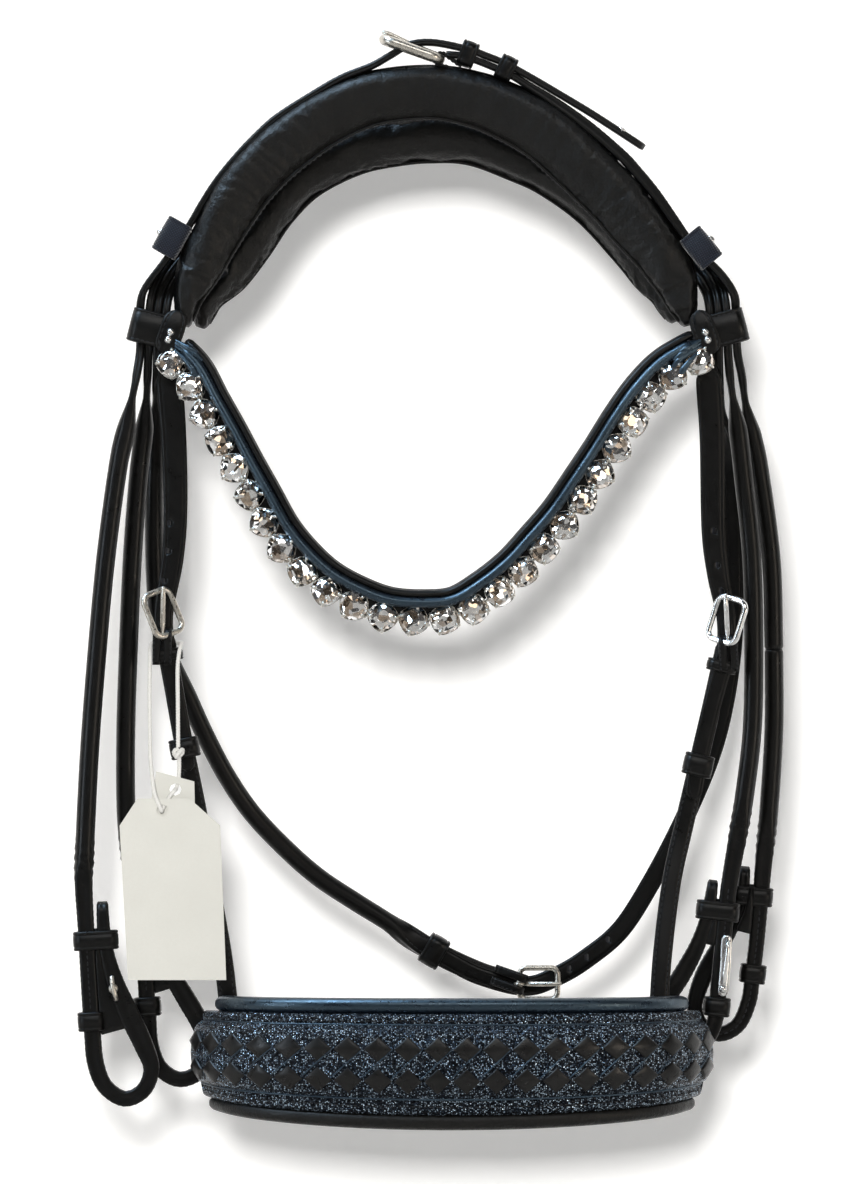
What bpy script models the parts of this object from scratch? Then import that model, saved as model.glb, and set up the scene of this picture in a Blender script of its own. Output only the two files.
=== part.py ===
"""A double bridle head set, hanging as it would from a poll-shaped peg.

X is the wearer's left to right as seen from the front, Y runs backwards, Z up.
The origin is the poll seat, the middle of the underside of the padded crown.
All lengths below are in millimetres and become metres when a mesh is made.
"""

import math

import bpy
import numpy as np

MM = 0.001
GAP = 0.35  # the clearance between neighbouring pieces

# Each strap leaves the browband loop as a thin blade set on edge.
BLADE = 3.0
BLADE_WIDTH = 11.0
LOOP_TOP = -74.0
LOOP_BOTTOM = -95.5
STUB_END = -94.2  # where the throatlatch's headpiece ends, just below the browband loops
SWING_START = -99.5  # where the throatlatch begins
BILLET_START = -141.0  # where the noseband's own straps begin, lower than the browband's ends
CHEEK_SPLIT = -245.0  # the height at which the bit straps bend
CHEEK_GAP = 2.6

BLACK = (0.016, 0.017, 0.020)
NAVY = (0.012, 0.018, 0.035)
STEEL = (0.42, 0.41, 0.39)
COLOURS = {
    "black_leather": (BLACK, 0.0, 0.42),
    "padding_leather": (BLACK, 0.0, 0.35),
    "navy_roll": (NAVY, 0.0, 0.35),
    "navy_textile": (NAVY, 0.0, 0.9),
    "glitter": ((0.02, 0.03, 0.06), 0.3, 0.35),
    "steel": (STEEL, 1.0, 0.3),
    "crystal": ((0.75, 0.78, 0.82), 0.2, 0.1),
    "card": ((0.80, 0.78, 0.70), 0.0, 0.8),
    "cord": ((0.85, 0.84, 0.80), 0.0, 0.9),
}


def clear_scene():
    for old in list(bpy.data.objects):
        bpy.data.objects.remove(old, do_unlink=True)


def material_for(name, slot):
    colour, metal, rough = COLOURS[slot]
    made = bpy.data.materials.new(f"{name}_{slot}")
    made.use_nodes = True
    shader = made.node_tree.nodes["Principled BSDF"]
    shader.inputs["Base Color"].default_value = (*colour, 1.0)
    shader.inputs["Metallic"].default_value = metal
    shader.inputs["Roughness"].default_value = rough
    return made


def add_mesh(name, points, faces, slot):
    """One object from points in millimetres."""
    mesh = bpy.data.meshes.new(name)
    mesh.from_pydata([tuple(float(c) * MM for c in p) for p in points], [], faces)
    mesh.update()
    made = bpy.data.objects.new(name, mesh)
    bpy.context.scene.collection.objects.link(made)
    mesh.materials.append(material_for(name, slot))
    return made


def smooth_rows(rows, step):
    """Rows about every step mm on a smooth curve through the given rows, which start with x, y, z."""
    rows = np.array(rows, float)
    ends = [2 * rows[0] - rows[1], *rows, 2 * rows[-1] - rows[-2]]
    ends = np.array(ends)
    fine = []
    for i in range(1, len(ends) - 2):
        a, b, c, d = ends[i - 1 : i + 3]
        for t in np.arange(0, 1, 0.05):
            fine.append(
                0.5
                * (
                    2 * b
                    + (c - a) * t
                    + (2 * a - 5 * b + 4 * c - d) * t**2
                    + (3 * b - a - 3 * c + d) * t**3
                )
            )
    fine.append(rows[-1])
    fine = np.array(fine)
    # A width or a thickness stays between its own given values.
    low, high = rows.min(0), rows.max(0)
    fine[:, 3:] = np.clip(fine[:, 3:], low[3:], high[3:])
    lengths = np.linalg.norm(np.diff(fine[:, :3], axis=0), axis=1)
    along = np.concatenate([[0], np.cumsum(lengths)])
    count = max(2, int(round(along[-1] / step)) + 1)
    at = np.linspace(0, along[-1], count)
    return np.stack([np.interp(at, along, fine[:, k]) for k in range(fine.shape[1])], axis=1)


def without_idle_rows(rows, within=0.34):
    """The rows that matter: each one left out lies that close to the run between its neighbours."""
    scaled = rows * ([1, 1, 1, 0.5, 0.5, 0.06][: rows.shape[1]] if rows.shape[1] > 3 else [1, 1, 1])
    keep, waiting = {0, len(rows) - 1}, [(0, len(rows) - 1)]
    while waiting:
        a, b = waiting.pop()
        if b - a < 2:
            continue
        share = np.linspace(0, 1, b - a + 1)[1:-1, None]
        straight = scaled[a] + (scaled[b] - scaled[a]) * share
        away = np.linalg.norm(scaled[a + 1 : b] - straight, axis=1)
        far = a + 1 + int(away.argmax())
        if away.max() > within:
            keep.add(far)
            waiting += [(a, far), (far, b)]
    return rows[sorted(keep)]


def tangents(path):
    steps = np.diff(path, axis=0)
    steps /= np.linalg.norm(steps, axis=1)[:, None]
    along = np.concatenate([steps[:1], steps[:-1] + steps[1:], steps[-1:]])
    return along / np.linalg.norm(along, axis=1)[:, None]


def chamfered(width, thick):
    """Eight corners of a strap's section, counted round it."""
    w, t = width / 2, thick / 2
    c = 0.586 * min(w, t)
    return [(w, t - c), (w - c, t), (c - w, t), (-w, t - c), (-w, c - t), (c - w, -t), (w - c, -t),
        (w, c - t)]


def loft(name, path, across, sections, slot):
    """A closed solid through one section for each point of a path.

    A section's first column runs along across.
    """
    path = np.array(path, float)
    forward = tangents(path)
    points, count = [], len(sections[0])
    for place, way, wide, section in zip(path, forward, across, sections, strict=True):
        wide = np.array(wide, float)
        wide = wide - wide.dot(way) * way
        wide /= np.linalg.norm(wide)
        thick = np.cross(way, wide)
        points += [place + u * wide + v * thick for u, v in section]
    faces = []
    for ring in range(len(path) - 1):
        for k in range(count):
            a, b = ring * count + k, ring * count + (k + 1) % count
            faces.append((a, b, b + count, a + count))
    faces.append(tuple(reversed(range(count))))
    last = (len(path) - 1) * count
    faces.append(tuple(last + k for k in range(count)))
    return add_mesh(name, points, faces, slot)


def strap(name, rows, slot="black_leather", step=9.0):
    """A strap through rows of x, y, z, width, thickness and turn.

    Turn 0 sets the width along Y, and 90 sets it across the front.
    """
    rows = without_idle_rows(smooth_rows(rows, step / 2))
    path = rows[:, :3]
    across = []
    for way, turn in zip(tangents(path), np.radians(rows[:, 5]), strict=True):
        side = np.cross(way, (0, 1, 0))
        across.append(math.cos(turn) * np.array((0, 1, 0)) + math.sin(turn) * side)
    sections = [chamfered(w, t) for w, t in rows[:, 3:5]]
    return loft(name, path, across, sections, slot)


def rounded_outline(half_a, half_b, corner, per_corner=3):
    points = []
    for quarter, (sa, sb) in enumerate([(1, 1), (-1, 1), (-1, -1), (1, -1)]):
        for k in range(per_corner):
            angle = math.pi / 2 * (quarter + k / (per_corner - 1))
            points.append((sa * (half_a - corner) + corner * math.cos(angle),
                sb * (half_b - corner) + corner * math.sin(angle)))
    return points


def basis(way, wide):
    way = np.array(way, float) / np.linalg.norm(way)
    wide = np.array(wide, float)
    wide = wide - wide.dot(way) * way
    wide /= np.linalg.norm(wide)
    return way, wide, np.cross(way, wide)


def keeper(name, centre, way, wide, half_a, half_b, tall, wall=1.7, slot="black_leather"):
    """A leather loop round one or more straps that run along way. half_a is its inside half."""
    way, wide, thick = basis(way, wide)
    centre = np.array(centre, float)
    inner = rounded_outline(half_a, half_b, min(half_a, half_b) * 0.45)
    outer = rounded_outline(half_a + wall, half_b + wall, min(half_a, half_b) * 0.45 + wall)
    rings = [(outer, -tall / 2), (outer, tall / 2), (inner, tall / 2), (inner, -tall / 2)]
    points, count = [], len(outer)
    for outline, height in rings:
        points += [centre + a * wide + b * thick + height * way for a, b in outline]
    faces = []
    for ring in range(4):
        for k in range(count):
            a, b = ring * count + k, ring * count + (k + 1) % count
            c, d = (b + count) % (4 * count), (a + count) % (4 * count)
            faces.append((a, b, c, d))
    return add_mesh(name, points, faces, slot)


def frame_ring(name, centre, way, wide, half_a, half_b, corner, rod, sides=6, slot="steel"):
    """A buckle frame: a rod bent into a rounded rectangle that lies square to way."""
    way, wide, thick = basis(way, wide)
    centre = np.array(centre, float)
    outline = rounded_outline(half_a, half_b, corner, 4)
    count, points, faces = len(outline), [], []
    for k in range(count):
        here, before, after = (np.array(outline[i % count]) for i in (k, k - 1, k + 1))
        along = after - before
        out = np.array((along[1], -along[0])) / np.linalg.norm(along)
        for s in range(sides):
            angle = 2 * math.pi * (s + 0.5) / sides
            a, b = here + out * rod / 2 * math.cos(angle)
            points.append(centre + a * wide + b * thick + rod / 2 * math.sin(angle) * way)
    for k in range(count):
        for s in range(sides):
            a, b = k * sides + s, k * sides + (s + 1) % sides
            c, d = (k + 1) % count * sides + (s + 1) % sides, (k + 1) % count * sides + s
            faces.append((d, c, b, a))
    return add_mesh(name, points, faces, slot)


def rod(name, points, diameters, slot="steel", sides=6):
    """A round rod or pin through points, with one diameter for each."""
    path = np.array(points, float)
    way = path[-1] - path[0]
    side = (1, 0, 0) if abs(way[0]) < 0.6 * np.linalg.norm(way) else (0, 0, 1)
    sections = []
    for d in diameters:
        turns = [2 * math.pi * (k + 0.5) / sides for k in range(sides)]
        sections.append([(d / 2 * math.cos(a), d / 2 * math.sin(a)) for a in turns])
    return loft(name, path, [side] * len(path), sections, slot)


# ---- crown and headpiece -------------------------------------------------

ARCH = [(-125.2, -79.5), (-124.2, -70), (-118.6, -55.5), (-111.4, -41.2), (-102, -24.2), (-91.5, -10),
        (-75.5, 5.5), (-54, 20), (-31, 29.3), (-3, 32), (17, 28.7), (33.8, 22.4), (52, 12.5),
        (68.9, -2.1),
        (87.1, -20), (98.3, -33.4), (109, -46.7), (116.4, -58.5), (120.8, -69), (124, -79)]
ARCH_WIDE = [8.5, 13, 21, 23.5, 26, 26.4, 27, 26.4, 26, 26, 26.6, 27.4, 28.4, 29, 28.6, 27.6, 25, 22,
             16.5, 9]
REAR = [(-118.3, -78), (-112.3, -67.9), (-101.7, -58.7), (-91.6, -43.3), (-79.9, -25.9), (-65.4, -10.7),
        (-45.8, 1.2), (-27.7, 7.6), (-3, 10.4), (17.6, 7.2), (38.6, -2), (54.6, -10), (75.5, -25.7),
        (96.1, -47.3), (104.6, -58.5), (111.8, -65.7), (117.9, -75)]
REAR_WIDE = [7.5, 10, 12, 14, 14.3, 15.3, 17.8, 20.4, 20.8, 17, 14, 13, 12, 13, 12, 11, 8]


def oval(width, thick, sides=12):
    turns = [2 * math.pi * (k + 0.5) / sides for k in range(sides)]
    return [(width / 2 * math.cos(a), thick / 2 * math.sin(a)) for a in turns]


def arch_roll(name, line, widths, y, deep):
    rows = smooth_rows([(x, y, z, w) for (x, z), w in zip(line, widths, strict=True)], 17)
    sections = [oval(deep * (0.6 + 0.4 * min(1, w / 20)), w) for w in rows[:, 3]]
    return loft(name, rows[:, :3], [(0, 1, 0)] * len(rows), sections, "padding_leather")


def seat_facet(roll, low):
    """Flattens the underside of a roll at the middle of the crown, where it sits on the poll."""
    for vertex in roll.data.vertices:
        if abs(vertex.co.x) < 0.012 and vertex.co.z < (low + 2.5) * MM:
            vertex.co.z = low * MM


STACK = [(-136.2, 0, STUB_END), (-136.2, 0, -85), (-135.6, 0.5, LOOP_TOP), (-133, 7, -64.5),
    (-125.5, 16, -53),
         (-109, 21.5, -38), (-92, 22, -22), (-73, 22, -2), (-52, 22, 13.5), (-28, 22, 21.5),
         (-3, 22, 23.5),
         (20, 22, 20.5), (42, 22, 11), (66, 22, -6), (86, 22, -23), (106, 21.5, -40),
         (126.5, 16.5, -55.5),
         (133.4, 7.6, -65.5), (135.6, 0.5, LOOP_TOP), (136.2, 0, -85), (136.2, 0, STUB_END)]
STACK_STEP = 4.2


def over_crown(name, layer, ends=((), ())):
    """A strap over the rear roll. Its ends go down through the browband loops.

    Layers are counted outwards from the roll.
    """
    line = smooth_rows(STACK, 8)
    way = tangents(line)
    out = np.cross(way, (0, 1, 0))
    out /= np.linalg.norm(out, axis=1)[:, None]
    line = line + out * STACK_STEP * layer
    rows = [(*p, BLADE_WIDTH, BLADE, 0) for p in line]
    left, right = ends
    return strap(name, list(left[::-1]) + rows + list(right), step=8.5)


CURB_LEFT = [(-145.3, 4, -108, 11, BLADE, 0), (-145.8, 6.5, -119, 10.5, 3.4, 0),
    (-147.2, 6.5, -136, 10, 9.6, 0),
             (-150, 6.5, -160, 9.8, 9.6, 0), (-153, 6.5, -200, 9.8, 9.6, 0),
             (-155, 6.5, CHEEK_SPLIT + CHEEK_GAP / 2, 9.8, 9.6, 0)]
CURB_RIGHT = [(146, 3, -108, 11, BLADE, 0), (147.5, 4.5, -119, 10.5, 3.4, 0),
    (150.2, 4.5, -136, 10, 9.6, 0),
              (153, 4.5, -160, 9.8, 9.6, 0), (157, 4.5, -200, 9.8, 9.6, 0),
              (158, 4.5, CHEEK_SPLIT + CHEEK_GAP / 2, 9.8, 9.6, 0)]


BILLET_Y = -4.5
# The noseband's headpiece goes on below the loops, and turns its face forwards.
NOSE_TOP_LEFT = [
    (-136.2, -1, SWING_START, 11, BLADE, 0),
    (-135.2, -3.6, -106, 10.6, BLADE, -45),
    (-134, BILLET_Y, -113, 13, BLADE, -90),
    (-132.1, BILLET_Y, BILLET_START + 3, 12.6, BLADE, -90),
]
NOSE_TOP_RIGHT = [
    (136.2, -1, SWING_START, 11, BLADE, 0),
    (135.2, -3.8, -106, 10.6, BLADE, -45),
    (135.4, BILLET_Y, -113, 13, BLADE, -90),
    (136.9, BILLET_Y, BILLET_START + 3, 12.6, BLADE, -90),
]


def headpiece():
    arch_roll("crown_pad_front", ARCH, ARCH_WIDE, -1.5, 25)
    rear = arch_roll("crown_pad_rear", REAR, REAR_WIDE, 22.2, 21.5)
    seat_facet(rear, 0.0)
    over_crown("noseband_headpiece", 0, (NOSE_TOP_LEFT, NOSE_TOP_RIGHT))
    over_crown("throat_headpiece", 1)
    over_crown("crown_strap", 2, (CURB_LEFT, CURB_RIGHT))


# ---- sliphead ------------------------------------------------------------

SLIP_LEFT = [(-19, 49), (-33, 47), (-48, 41.5), (-82, 22), (-101, 2), (-114, -11), (-125, -29),
    (-137.5, -51), (-146.5, -65)]
SLIP_RIGHT = [(4, 52.2), (15, 50.6), (34, 43), (46, 36.4), (60, 27.9), (76, 16.2), (92.7, 2.4),
              (99.2, -4.6),
              (109, -16.2), (119, -31), (126.6, -42), (133, -49.5), (141.5, -58), (147.5, -67)]
TAIL = [(103, 5.5), (90, 14), (76, 23), (60, 32.6), (46, 40.8), (34, 47.3), (24, 51.4), (15, 54.6),
        (-2, 58),
        (-14, 57), (-24, 51.5)]
POLL_RING = (-13.0, -3.5, 54.6)
POLL_ALONG = (0.913, 0, -0.407)


def slip_rows(line):
    return [(x, -3.5, z, 12, 3.4, 0) for x, z in line]


def sliphead():
    left_down = [(-148.8, -1, LOOP_TOP, 11, BLADE, 0), (-148.8, 0, -85, 11, BLADE, 0),
        (-149, -1, -97, 11, BLADE, 0),
                 (-150.6, -4.5, -108, 11, BLADE, 0), (-152.6, -7, -119, 10.5, 3.4, 0),
                 (-156, -7, -136, 10, 9.6, 0),
                 (-160, -7, -155, 9.8, 9.6, 0), (-166, -7, -200, 9.8, 9.6, 0),
                 (-170.3, -7, CHEEK_SPLIT + CHEEK_GAP / 2, 9.8, 9.6, 0)]
    right_down = [(148.8, -1, LOOP_TOP, 11, BLADE, 0), (149, 0, -85, 11, BLADE, 0),
        (149.8, 2, -97, 11, BLADE, 0),
                  (152, 10, -108, 11, BLADE, 0), (154, 17.5, -121, 10.5, 3.4, 0),
                  (157.5, 17.5, -138, 10, 9.6, 0),
                  (161, 17.5, -155, 9.8, 9.6, 0), (167, 17.5, -200, 9.8, 9.6, 0),
                  (168.4, 17.5, CHEEK_SPLIT + 5.5, 9.8, 9.6, 0)]
    point = strap("sliphead_point_strap", slip_rows(TAIL) + slip_rows(SLIP_LEFT[1:]) + left_down,
        step=8.5)
    strap("sliphead_buckle_strap", slip_rows(SLIP_RIGHT) + right_down, step=8.5)
    along = np.array(POLL_ALONG)
    lift = np.array((0.407, 0, 0.913))
    ring = np.array(POLL_RING)
    frame_ring("poll_buckle", ring, np.cross(along, (0, 1, 0)), along, 14.4, 10.2, 3.5, 3.2)
    tongue = [ring + along * 11.6 + lift * 1.8, ring - along * 1 + lift * 2.4,
        ring - along * 13 + lift * 3.6, ring - along * 17 + lift * 3.4]
    rod("poll_tongue", tongue, (2.4, 2.4, 2.4, 1.8))
    punch(point, (-12, -3.5, 57), (0, 0, 1), 10.5, 2.1, (1, 0, 0))
    for name, x, z, slope in (("poll_keeper_fixed", 15.0, 52.4, (20, -7.6)),
        ("poll_keeper_sliding", 34.0, 45.2, (20, -9.6))):
        keeper(name, (x, -3.5, z), (slope[0], 0, slope[1]), (0, 1, 0), 6.5, 4.6, 8.5)
    for name, x, z, way in (("sliphead_tab_left", -131.5, -40.4, (-12.5, 0, -22)),
        ("sliphead_tab_right", 130.1, -45.6, (6.2, 0, -7.5))):
        keeper(name, (x, -3.5, z), way, (0, 1, 0), 6.5, 2.2, 17, wall=1.4, slot="navy_textile")


def punch(target, centre, way, half_long, half_wide, wide=(0, 0, 1)):
    """Cuts an oval hole right through a strap."""
    way, wide, thick = basis(way, wide)
    centre = np.array(centre, float)
    outline = rounded_outline(half_long, half_wide, min(half_long, half_wide) * 0.98)
    points = [centre + a * wide + b * thick + h * way for h in (-9, 9) for a, b in outline]
    count = len(outline)
    faces = [(k, (k + 1) % count, (k + 1) % count + count, k + count) for k in range(count)]
    faces += [tuple(reversed(range(count))), tuple(range(count, 2 * count))]
    cutter = add_mesh(target.name + "_cutter", points, faces, "steel")
    cutter.hide_render = True
    cutter.display_type = "WIRE"
    cut = target.modifiers.new("hole", "BOOLEAN")
    cut.operation = "DIFFERENCE"
    cut.solver = "EXACT"
    cut.object = cutter


# ---- browband ------------------------------------------------------------

BROW_LINE = [(-130.5, -10.5, -96), (-121, -13.5, -106), (-113, -16, -121), (-104, -18, -137),
    (-96, -19.5, -152), (-87, -21, -168),
             (-77.5, -22, -185), (-67, -23, -198), (-55, -24, -209), (-41, -24.5, -217), (-25, -25, -223),
             (-8, -25, -224.5),
             (8, -25, -223), (22, -24.5, -215), (36, -24, -204), (48, -23, -191), (60, -22, -177),
             (71, -21, -161),
             (81, -19.5, -146), (91, -18, -130), (101, -16, -116), (112, -13.5, -104.5), (124, -11, -97),
             (130.5, -10.5, -94)]


def offset_line(line, shift, back):
    """The browband's line moved across itself, and back along Y.

    A positive shift moves it upwards and inwards.
    """
    line = smooth_rows(line, 11)
    way = tangents(line)
    up = np.cross((0, 1, 0), way)
    up /= np.linalg.norm(up, axis=1)[:, None]
    moved = line - up * shift
    moved[:, 1] += back
    return moved


def browband():
    parts = (
        ("browband_roll", 4.4, -1.0, 8.4, 8.0, "navy_roll"),
        ("browband_backing", 2.2, 5.6, 14.0, 3.4, "black_leather"),
        ("crystal_chain", -6.2, 0.2, 11.6, 6.4, "crystal"),
    )
    for name, shift, back, wide, deep, slot in parts:
        line = offset_line(BROW_LINE, shift, back)
        across = np.cross(tangents(line), (0, 1, 0))
        loft(name, line, across, [chamfered(wide, deep)] * len(line), slot)
    for side, name in ((-1, "left"), (1, "right")):
        # The band leans a little, as its ends pull it inwards.
        keeper(f"browband_loop_{name}", (side * 142.6, 0, -85), (side * 0.06, 0, -1), (0, 1, 0),
            6.9, 9.9, 17, wall=2.0)


# ---- bit straps ----------------------------------------------------------

# Rows are x, z, width along Y and thickness across the front; the last stretch is the turned-up tip.
BRADOON_LEFT = [(-170.3, -246.3, 9.8, 9.6), (-174, -295, 9.8, 9.6), (-176.5, -345, 10, 9.6),
    (-177, -362, 11, 8.8), (-175.8, -385, 11.5, 8),
                (-174.4, -410, 11.5, 8), (-172.6, -437, 11.5, 8.2), (-171, -452, 11.5, 8.2),
                (-166.2, -463.5, 11.5, 7.8),
                (-156.5, -469.6, 11.5, 7.6), (-147, -465.2, 11.5, 7.6), (-143.2, -454.5, 11.5, 7.8),
                (-147.2, -442.5, 11.5, 9.4),
                (-154, -428, 11.5, 10), (-160.6, -413, 11.5, 8.6), (-164.8, -399, 11.5, 7),
                (-166.9, -386, 11.5, 6.4),
                (-167.7, -371, 10.5, 5.6)]
CURB_LEFT_LOW = [(-155, -246.3, 9.8, 9.6), (-156.3, -290, 9.8, 9.6), (-156, -328, 9.8, 9.6),
    (-153.6, -352, 11, 8.8), (-150, -375, 11.5, 8),
                 (-147, -400, 11.5, 8), (-145.2, -428, 11.5, 8.2), (-144, -443, 11.5, 8.2),
                 (-139, -454.8, 11.5, 7.8),
                 (-129.5, -460.4, 11.5, 7.6), (-119.6, -456.6, 11.5, 7.6), (-115.2, -446.5, 11.5, 7.8),
                 (-118.6, -433.5, 11.5, 9),
                 (-125.8, -420.5, 11.5, 9.4), (-133.2, -408, 11.5, 8.4), (-138.6, -395, 11.5, 7),
                 (-141.6, -380, 11.5, 6.4),
                 (-143.6, -366, 10.5, 5.6)]
BRADOON_RIGHT = [(168.4, -246.3, 9.8, 9.6), (168.4, -285, 9.8, 9.6), (166, -325, 9.8, 9.6),
    (163.6, -349, 11, 8.6), (161.8, -370, 11.5, 7.8),
                 (159.8, -392, 11.5, 7.6), (157.6, -410, 11.5, 7.6), (155.8, -422, 11.5, 7.6),
                 (150.5, -433.6, 11.5, 7.4),
                 (141, -438.2, 11.5, 7.4), (132, -433.6, 11.5, 7.4), (128.8, -424, 11.5, 7.6),
                 (132.4, -411, 11.5, 8.6),
                 (138.4, -399.5, 11.5, 8.8), (145, -388.5, 11.5, 7.6), (150.2, -377.5, 11.5, 6.6),
                 (152.8, -367, 11.5, 6.2),
                 (154.1, -354, 10.5, 5)]
CURB_RIGHT_LOW = [(158, -246.3, 9.8, 9.6), (157.2, -285, 9.8, 9.6), (153.4, -318, 9.8, 9.6),
    (149.4, -342, 11, 8.8), (145.4, -365, 11.5, 8),
                  (142.8, -390, 11.5, 8), (140.6, -412, 11.5, 8), (138.8, -430, 11.5, 7.8),
                  (133.4, -441.4, 11.5, 7.6),
                  (123.8, -445.8, 11.5, 7.4), (114.4, -441, 11.5, 7.4), (111.2, -431, 11.5, 7.6),
                  (115.2, -419, 11.5, 8.6),
                  (122, -408, 11.5, 8.8), (128.8, -395.5, 11.5, 7.8), (133, -384.5, 11.5, 6.8),
                  (135.9, -373, 11.5, 6.2),
                  (137.7, -360.5, 10.5, 5)]
# name, rows, y at the top and at the bottom, upper keeper x z and half width, lower keeper x z
CHEEKS = (
    ("bradoon", "left", BRADOON_LEFT, -7, -7, (-170.9, -390.5, 9.6), (-173.2, -431, 5.0)),
    ("curb", "left", CURB_LEFT_LOW, 6.5, 7.5, (-145.2, -382, 9.6), (-145.5, -424, 5.0)),
    ("bradoon", "right", BRADOON_RIGHT, 17.5, 22.4, (157.1, -369, 9.2), (158.0, -408, 4.8)),
    ("curb", "right", CURB_RIGHT_LOW, 4.5, 5.0, (140.0, -376, 9.3), (139.6, -424, 4.9)),
)


def slope_at(rows, z):
    """The direction of the main run of a bit strap at height z."""
    for (xa, za, *_), (xb, zb, *_) in zip(rows, rows[1:]):
        if za >= z >= zb:
            return np.array((xb - xa, 0, zb - za)) / math.hypot(xb - xa, zb - za)
    return np.array((0, 0, -1.0))


def bit_straps():
    for kind, side, rows, y_top, y_low, upper, lower in CHEEKS:
        full = []
        for x, z, w, t in rows:
            share = min(1, (rows[0][1] - z) / 150)
            full.append((x, y_top + (y_low - y_top) * share, z, w, t, 0))
        made = strap(f"{kind}_cheek_{side}", full, step=7)
        flatten_loop(made, full)
        for level, (x, z, half) in (("upper", upper), ("lower", lower)):
            y = y_top + (y_low - y_top) * min(1, (rows[0][1] - z) / 150)
            keeper(f"{kind}_keeper_{level}_{side}", (x, y, z), slope_at(rows, z), (0, 1, 0),
                6.3, half, 9.5, wall=1.6)


def flatten_loop(made, rows):
    """Makes the inside of a bit loop's lowest point level, where a ring of the bit hangs."""
    low = min(r[2] for r in rows)
    for vertex in made.data.vertices:
        z = vertex.co.z / MM
        if low + 1.4 < z < low + 4.2:
            vertex.co.z = (low + 2.5) * MM


# ---- noseband hangers ----------------------------------------------------

BILLETS = {
    "left": [(-132, BILLET_Y, BILLET_START, 12.6, BLADE, 90), (-131.2, BILLET_Y, -175, 12, BLADE, 90),
        (-132.6, BILLET_Y, -200, 11, BLADE, 90),
             (-137, BILLET_Y, -227, 9.6, BLADE, 90), (-135.6, BILLET_Y, -245, 9.2, BLADE, 90),
             (-131.5, BILLET_Y, -268, 9.2, BLADE, 90),
             (-127.5, BILLET_Y, -290, 9.2, BLADE, 90), (-124.6, BILLET_Y, -306, 8.6, BLADE, 90)],
    "right": [(137, BILLET_Y, BILLET_START, 12.6, BLADE, -90), (137.6, BILLET_Y, -185, 12, BLADE, -90),
        (140, BILLET_Y, -208, 11, BLADE, -90),
              (144, BILLET_Y, -230, 9.6, BLADE, -90), (143, BILLET_Y, -250, 9.2, BLADE, -90),
              (136.5, BILLET_Y, -275, 9.2, BLADE, -90),
              (130.5, BILLET_Y, -300, 9.2, BLADE, -90), (127.4, BILLET_Y, -320, 9.0, BLADE, -90)],
}
HANGERS = {
    "left": [(-136.2, 0.7, -239.5, 9.4, 6.4, 90), (-131.5, 0.7, -268, 9.4, 6.2, 90),
        (-127.2, 0.5, -292, 9.4, 5.4, 90),
             (-120.6, 0.4, -325, 9.6, 4.6, 90), (-114.4, -1.2, -360, 9.6, 4.2, 90),
             (-107.4, -2.4, -400, 9.6, 4.2, 90), (-103.4, -2.4, -436, 9.6, 4.2, 90)],
    "right": [(143.6, 0.7, -243.5, 9.4, 6.4, -90), (136.5, 0.7, -275, 9.4, 6.2, -90),
        (130.2, 0.5, -302, 9.4, 5.4, -90),
              (122.8, -0.2, -334, 9.6, 4.6, -90), (116.6, -5, -362, 9.6, 4.2, -90),
              (111.8, -12, -400, 9.6, 4.2, -90), (109.6, -17, -436, 9.6, 4.2, -90)],
}
HOLES = {"left": (-182, -196, -211), "right": (-186, -203, -216)}
SIDE_BUCKLES = {"left": (-137.4, -227, (-0.02, 0, -1)), "right": (144.2, -230.5, (0.05, 0, -1))}
HANGER_KEEPERS = {
    "left": (("upper", -248, 6.2), ("lower", -294.5, 10.0)),
    "right": (("upper", -253.5, 6.2), ("lower", -303, 11.0)),
}


def x_at(rows, z):
    for a, b in zip(rows, rows[1:]):
        if a[2] >= z >= b[2]:
            return a[0] + (b[0] - a[0]) * (a[2] - z) / (a[2] - b[2])
    return rows[-1][0]


def hangers():
    for side, sign in (("left", -1), ("right", 1)):
        billet = strap(f"noseband_billet_{side}", BILLETS[side], step=8)
        for z in HOLES[side]:
            punch(billet, (x_at(BILLETS[side], z), BILLET_Y, z), (0, 1, 0), 2.3, 1.6)
        strap(f"noseband_hanger_{side}", HANGERS[side], step=12)
        x, z, way = SIDE_BUCKLES[side]
        way, across, _ = basis(way, (1, 0, 0))
        frame_ring(f"side_buckle_{side}", (x, -8.2, z), (0, -1, 0), way, 11.0, 8.2, 3.2, 3.2)
        foot = np.array((x, -8.2, z)) + way * 9.4
        tongue = [foot - way * 2.6, foot - way * 9 + (0, -1.6, 0), foot - way * 18 + (0, -3.2, 0),
            foot - way * 22.5 + (0, -3.1, 0)]
        rod(f"side_tongue_{side}", tongue, (2.6, 2.6, 2.4, 1.8))
        for level, kz, tall in HANGER_KEEPERS[side]:
            run = np.array((x_at(HANGERS[side], kz - 6) - x_at(HANGERS[side], kz + 6), 0, -12.0))
            kx = x_at(HANGERS[side], kz) / 2 + x_at(BILLETS[side], kz) / 2
            keeper(f"hanger_keeper_{level}_{side}", (kx, -1.1, kz), run, (1, 0, 0),
                5.9, 5.9, tall, wall=1.5)


# ---- noseband ------------------------------------------------------------

NOSE_X = 7.0
NOSE_HALF = [(0, -63), (22, -62.6), (44, -60.4), (64, -56), (82, -49.5), (97, -40), (108, -28.5),
    (115.5, -15.5), (119.5, -6)]


def nose_plan(reach, step):
    """The noseband's plan line from left to right, reach being the share of its length kept."""
    half = [(-x, y, 0) for x, y in NOSE_HALF[:0:-1]] + [(x, y, 0) for x, y in NOSE_HALF]
    line = smooth_rows(half, 1.0)
    count = len(line)
    cut = int(round(count * (1 - reach) / 2))
    line = line[cut : count - cut]
    at = np.linspace(0, len(line) - 1, max(2, int(len(line) / step)))
    return np.stack([np.interp(at, np.arange(len(line)),
        line[:, k]) for k in range(3)], axis=1) + (NOSE_X, 0, 0)


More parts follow.
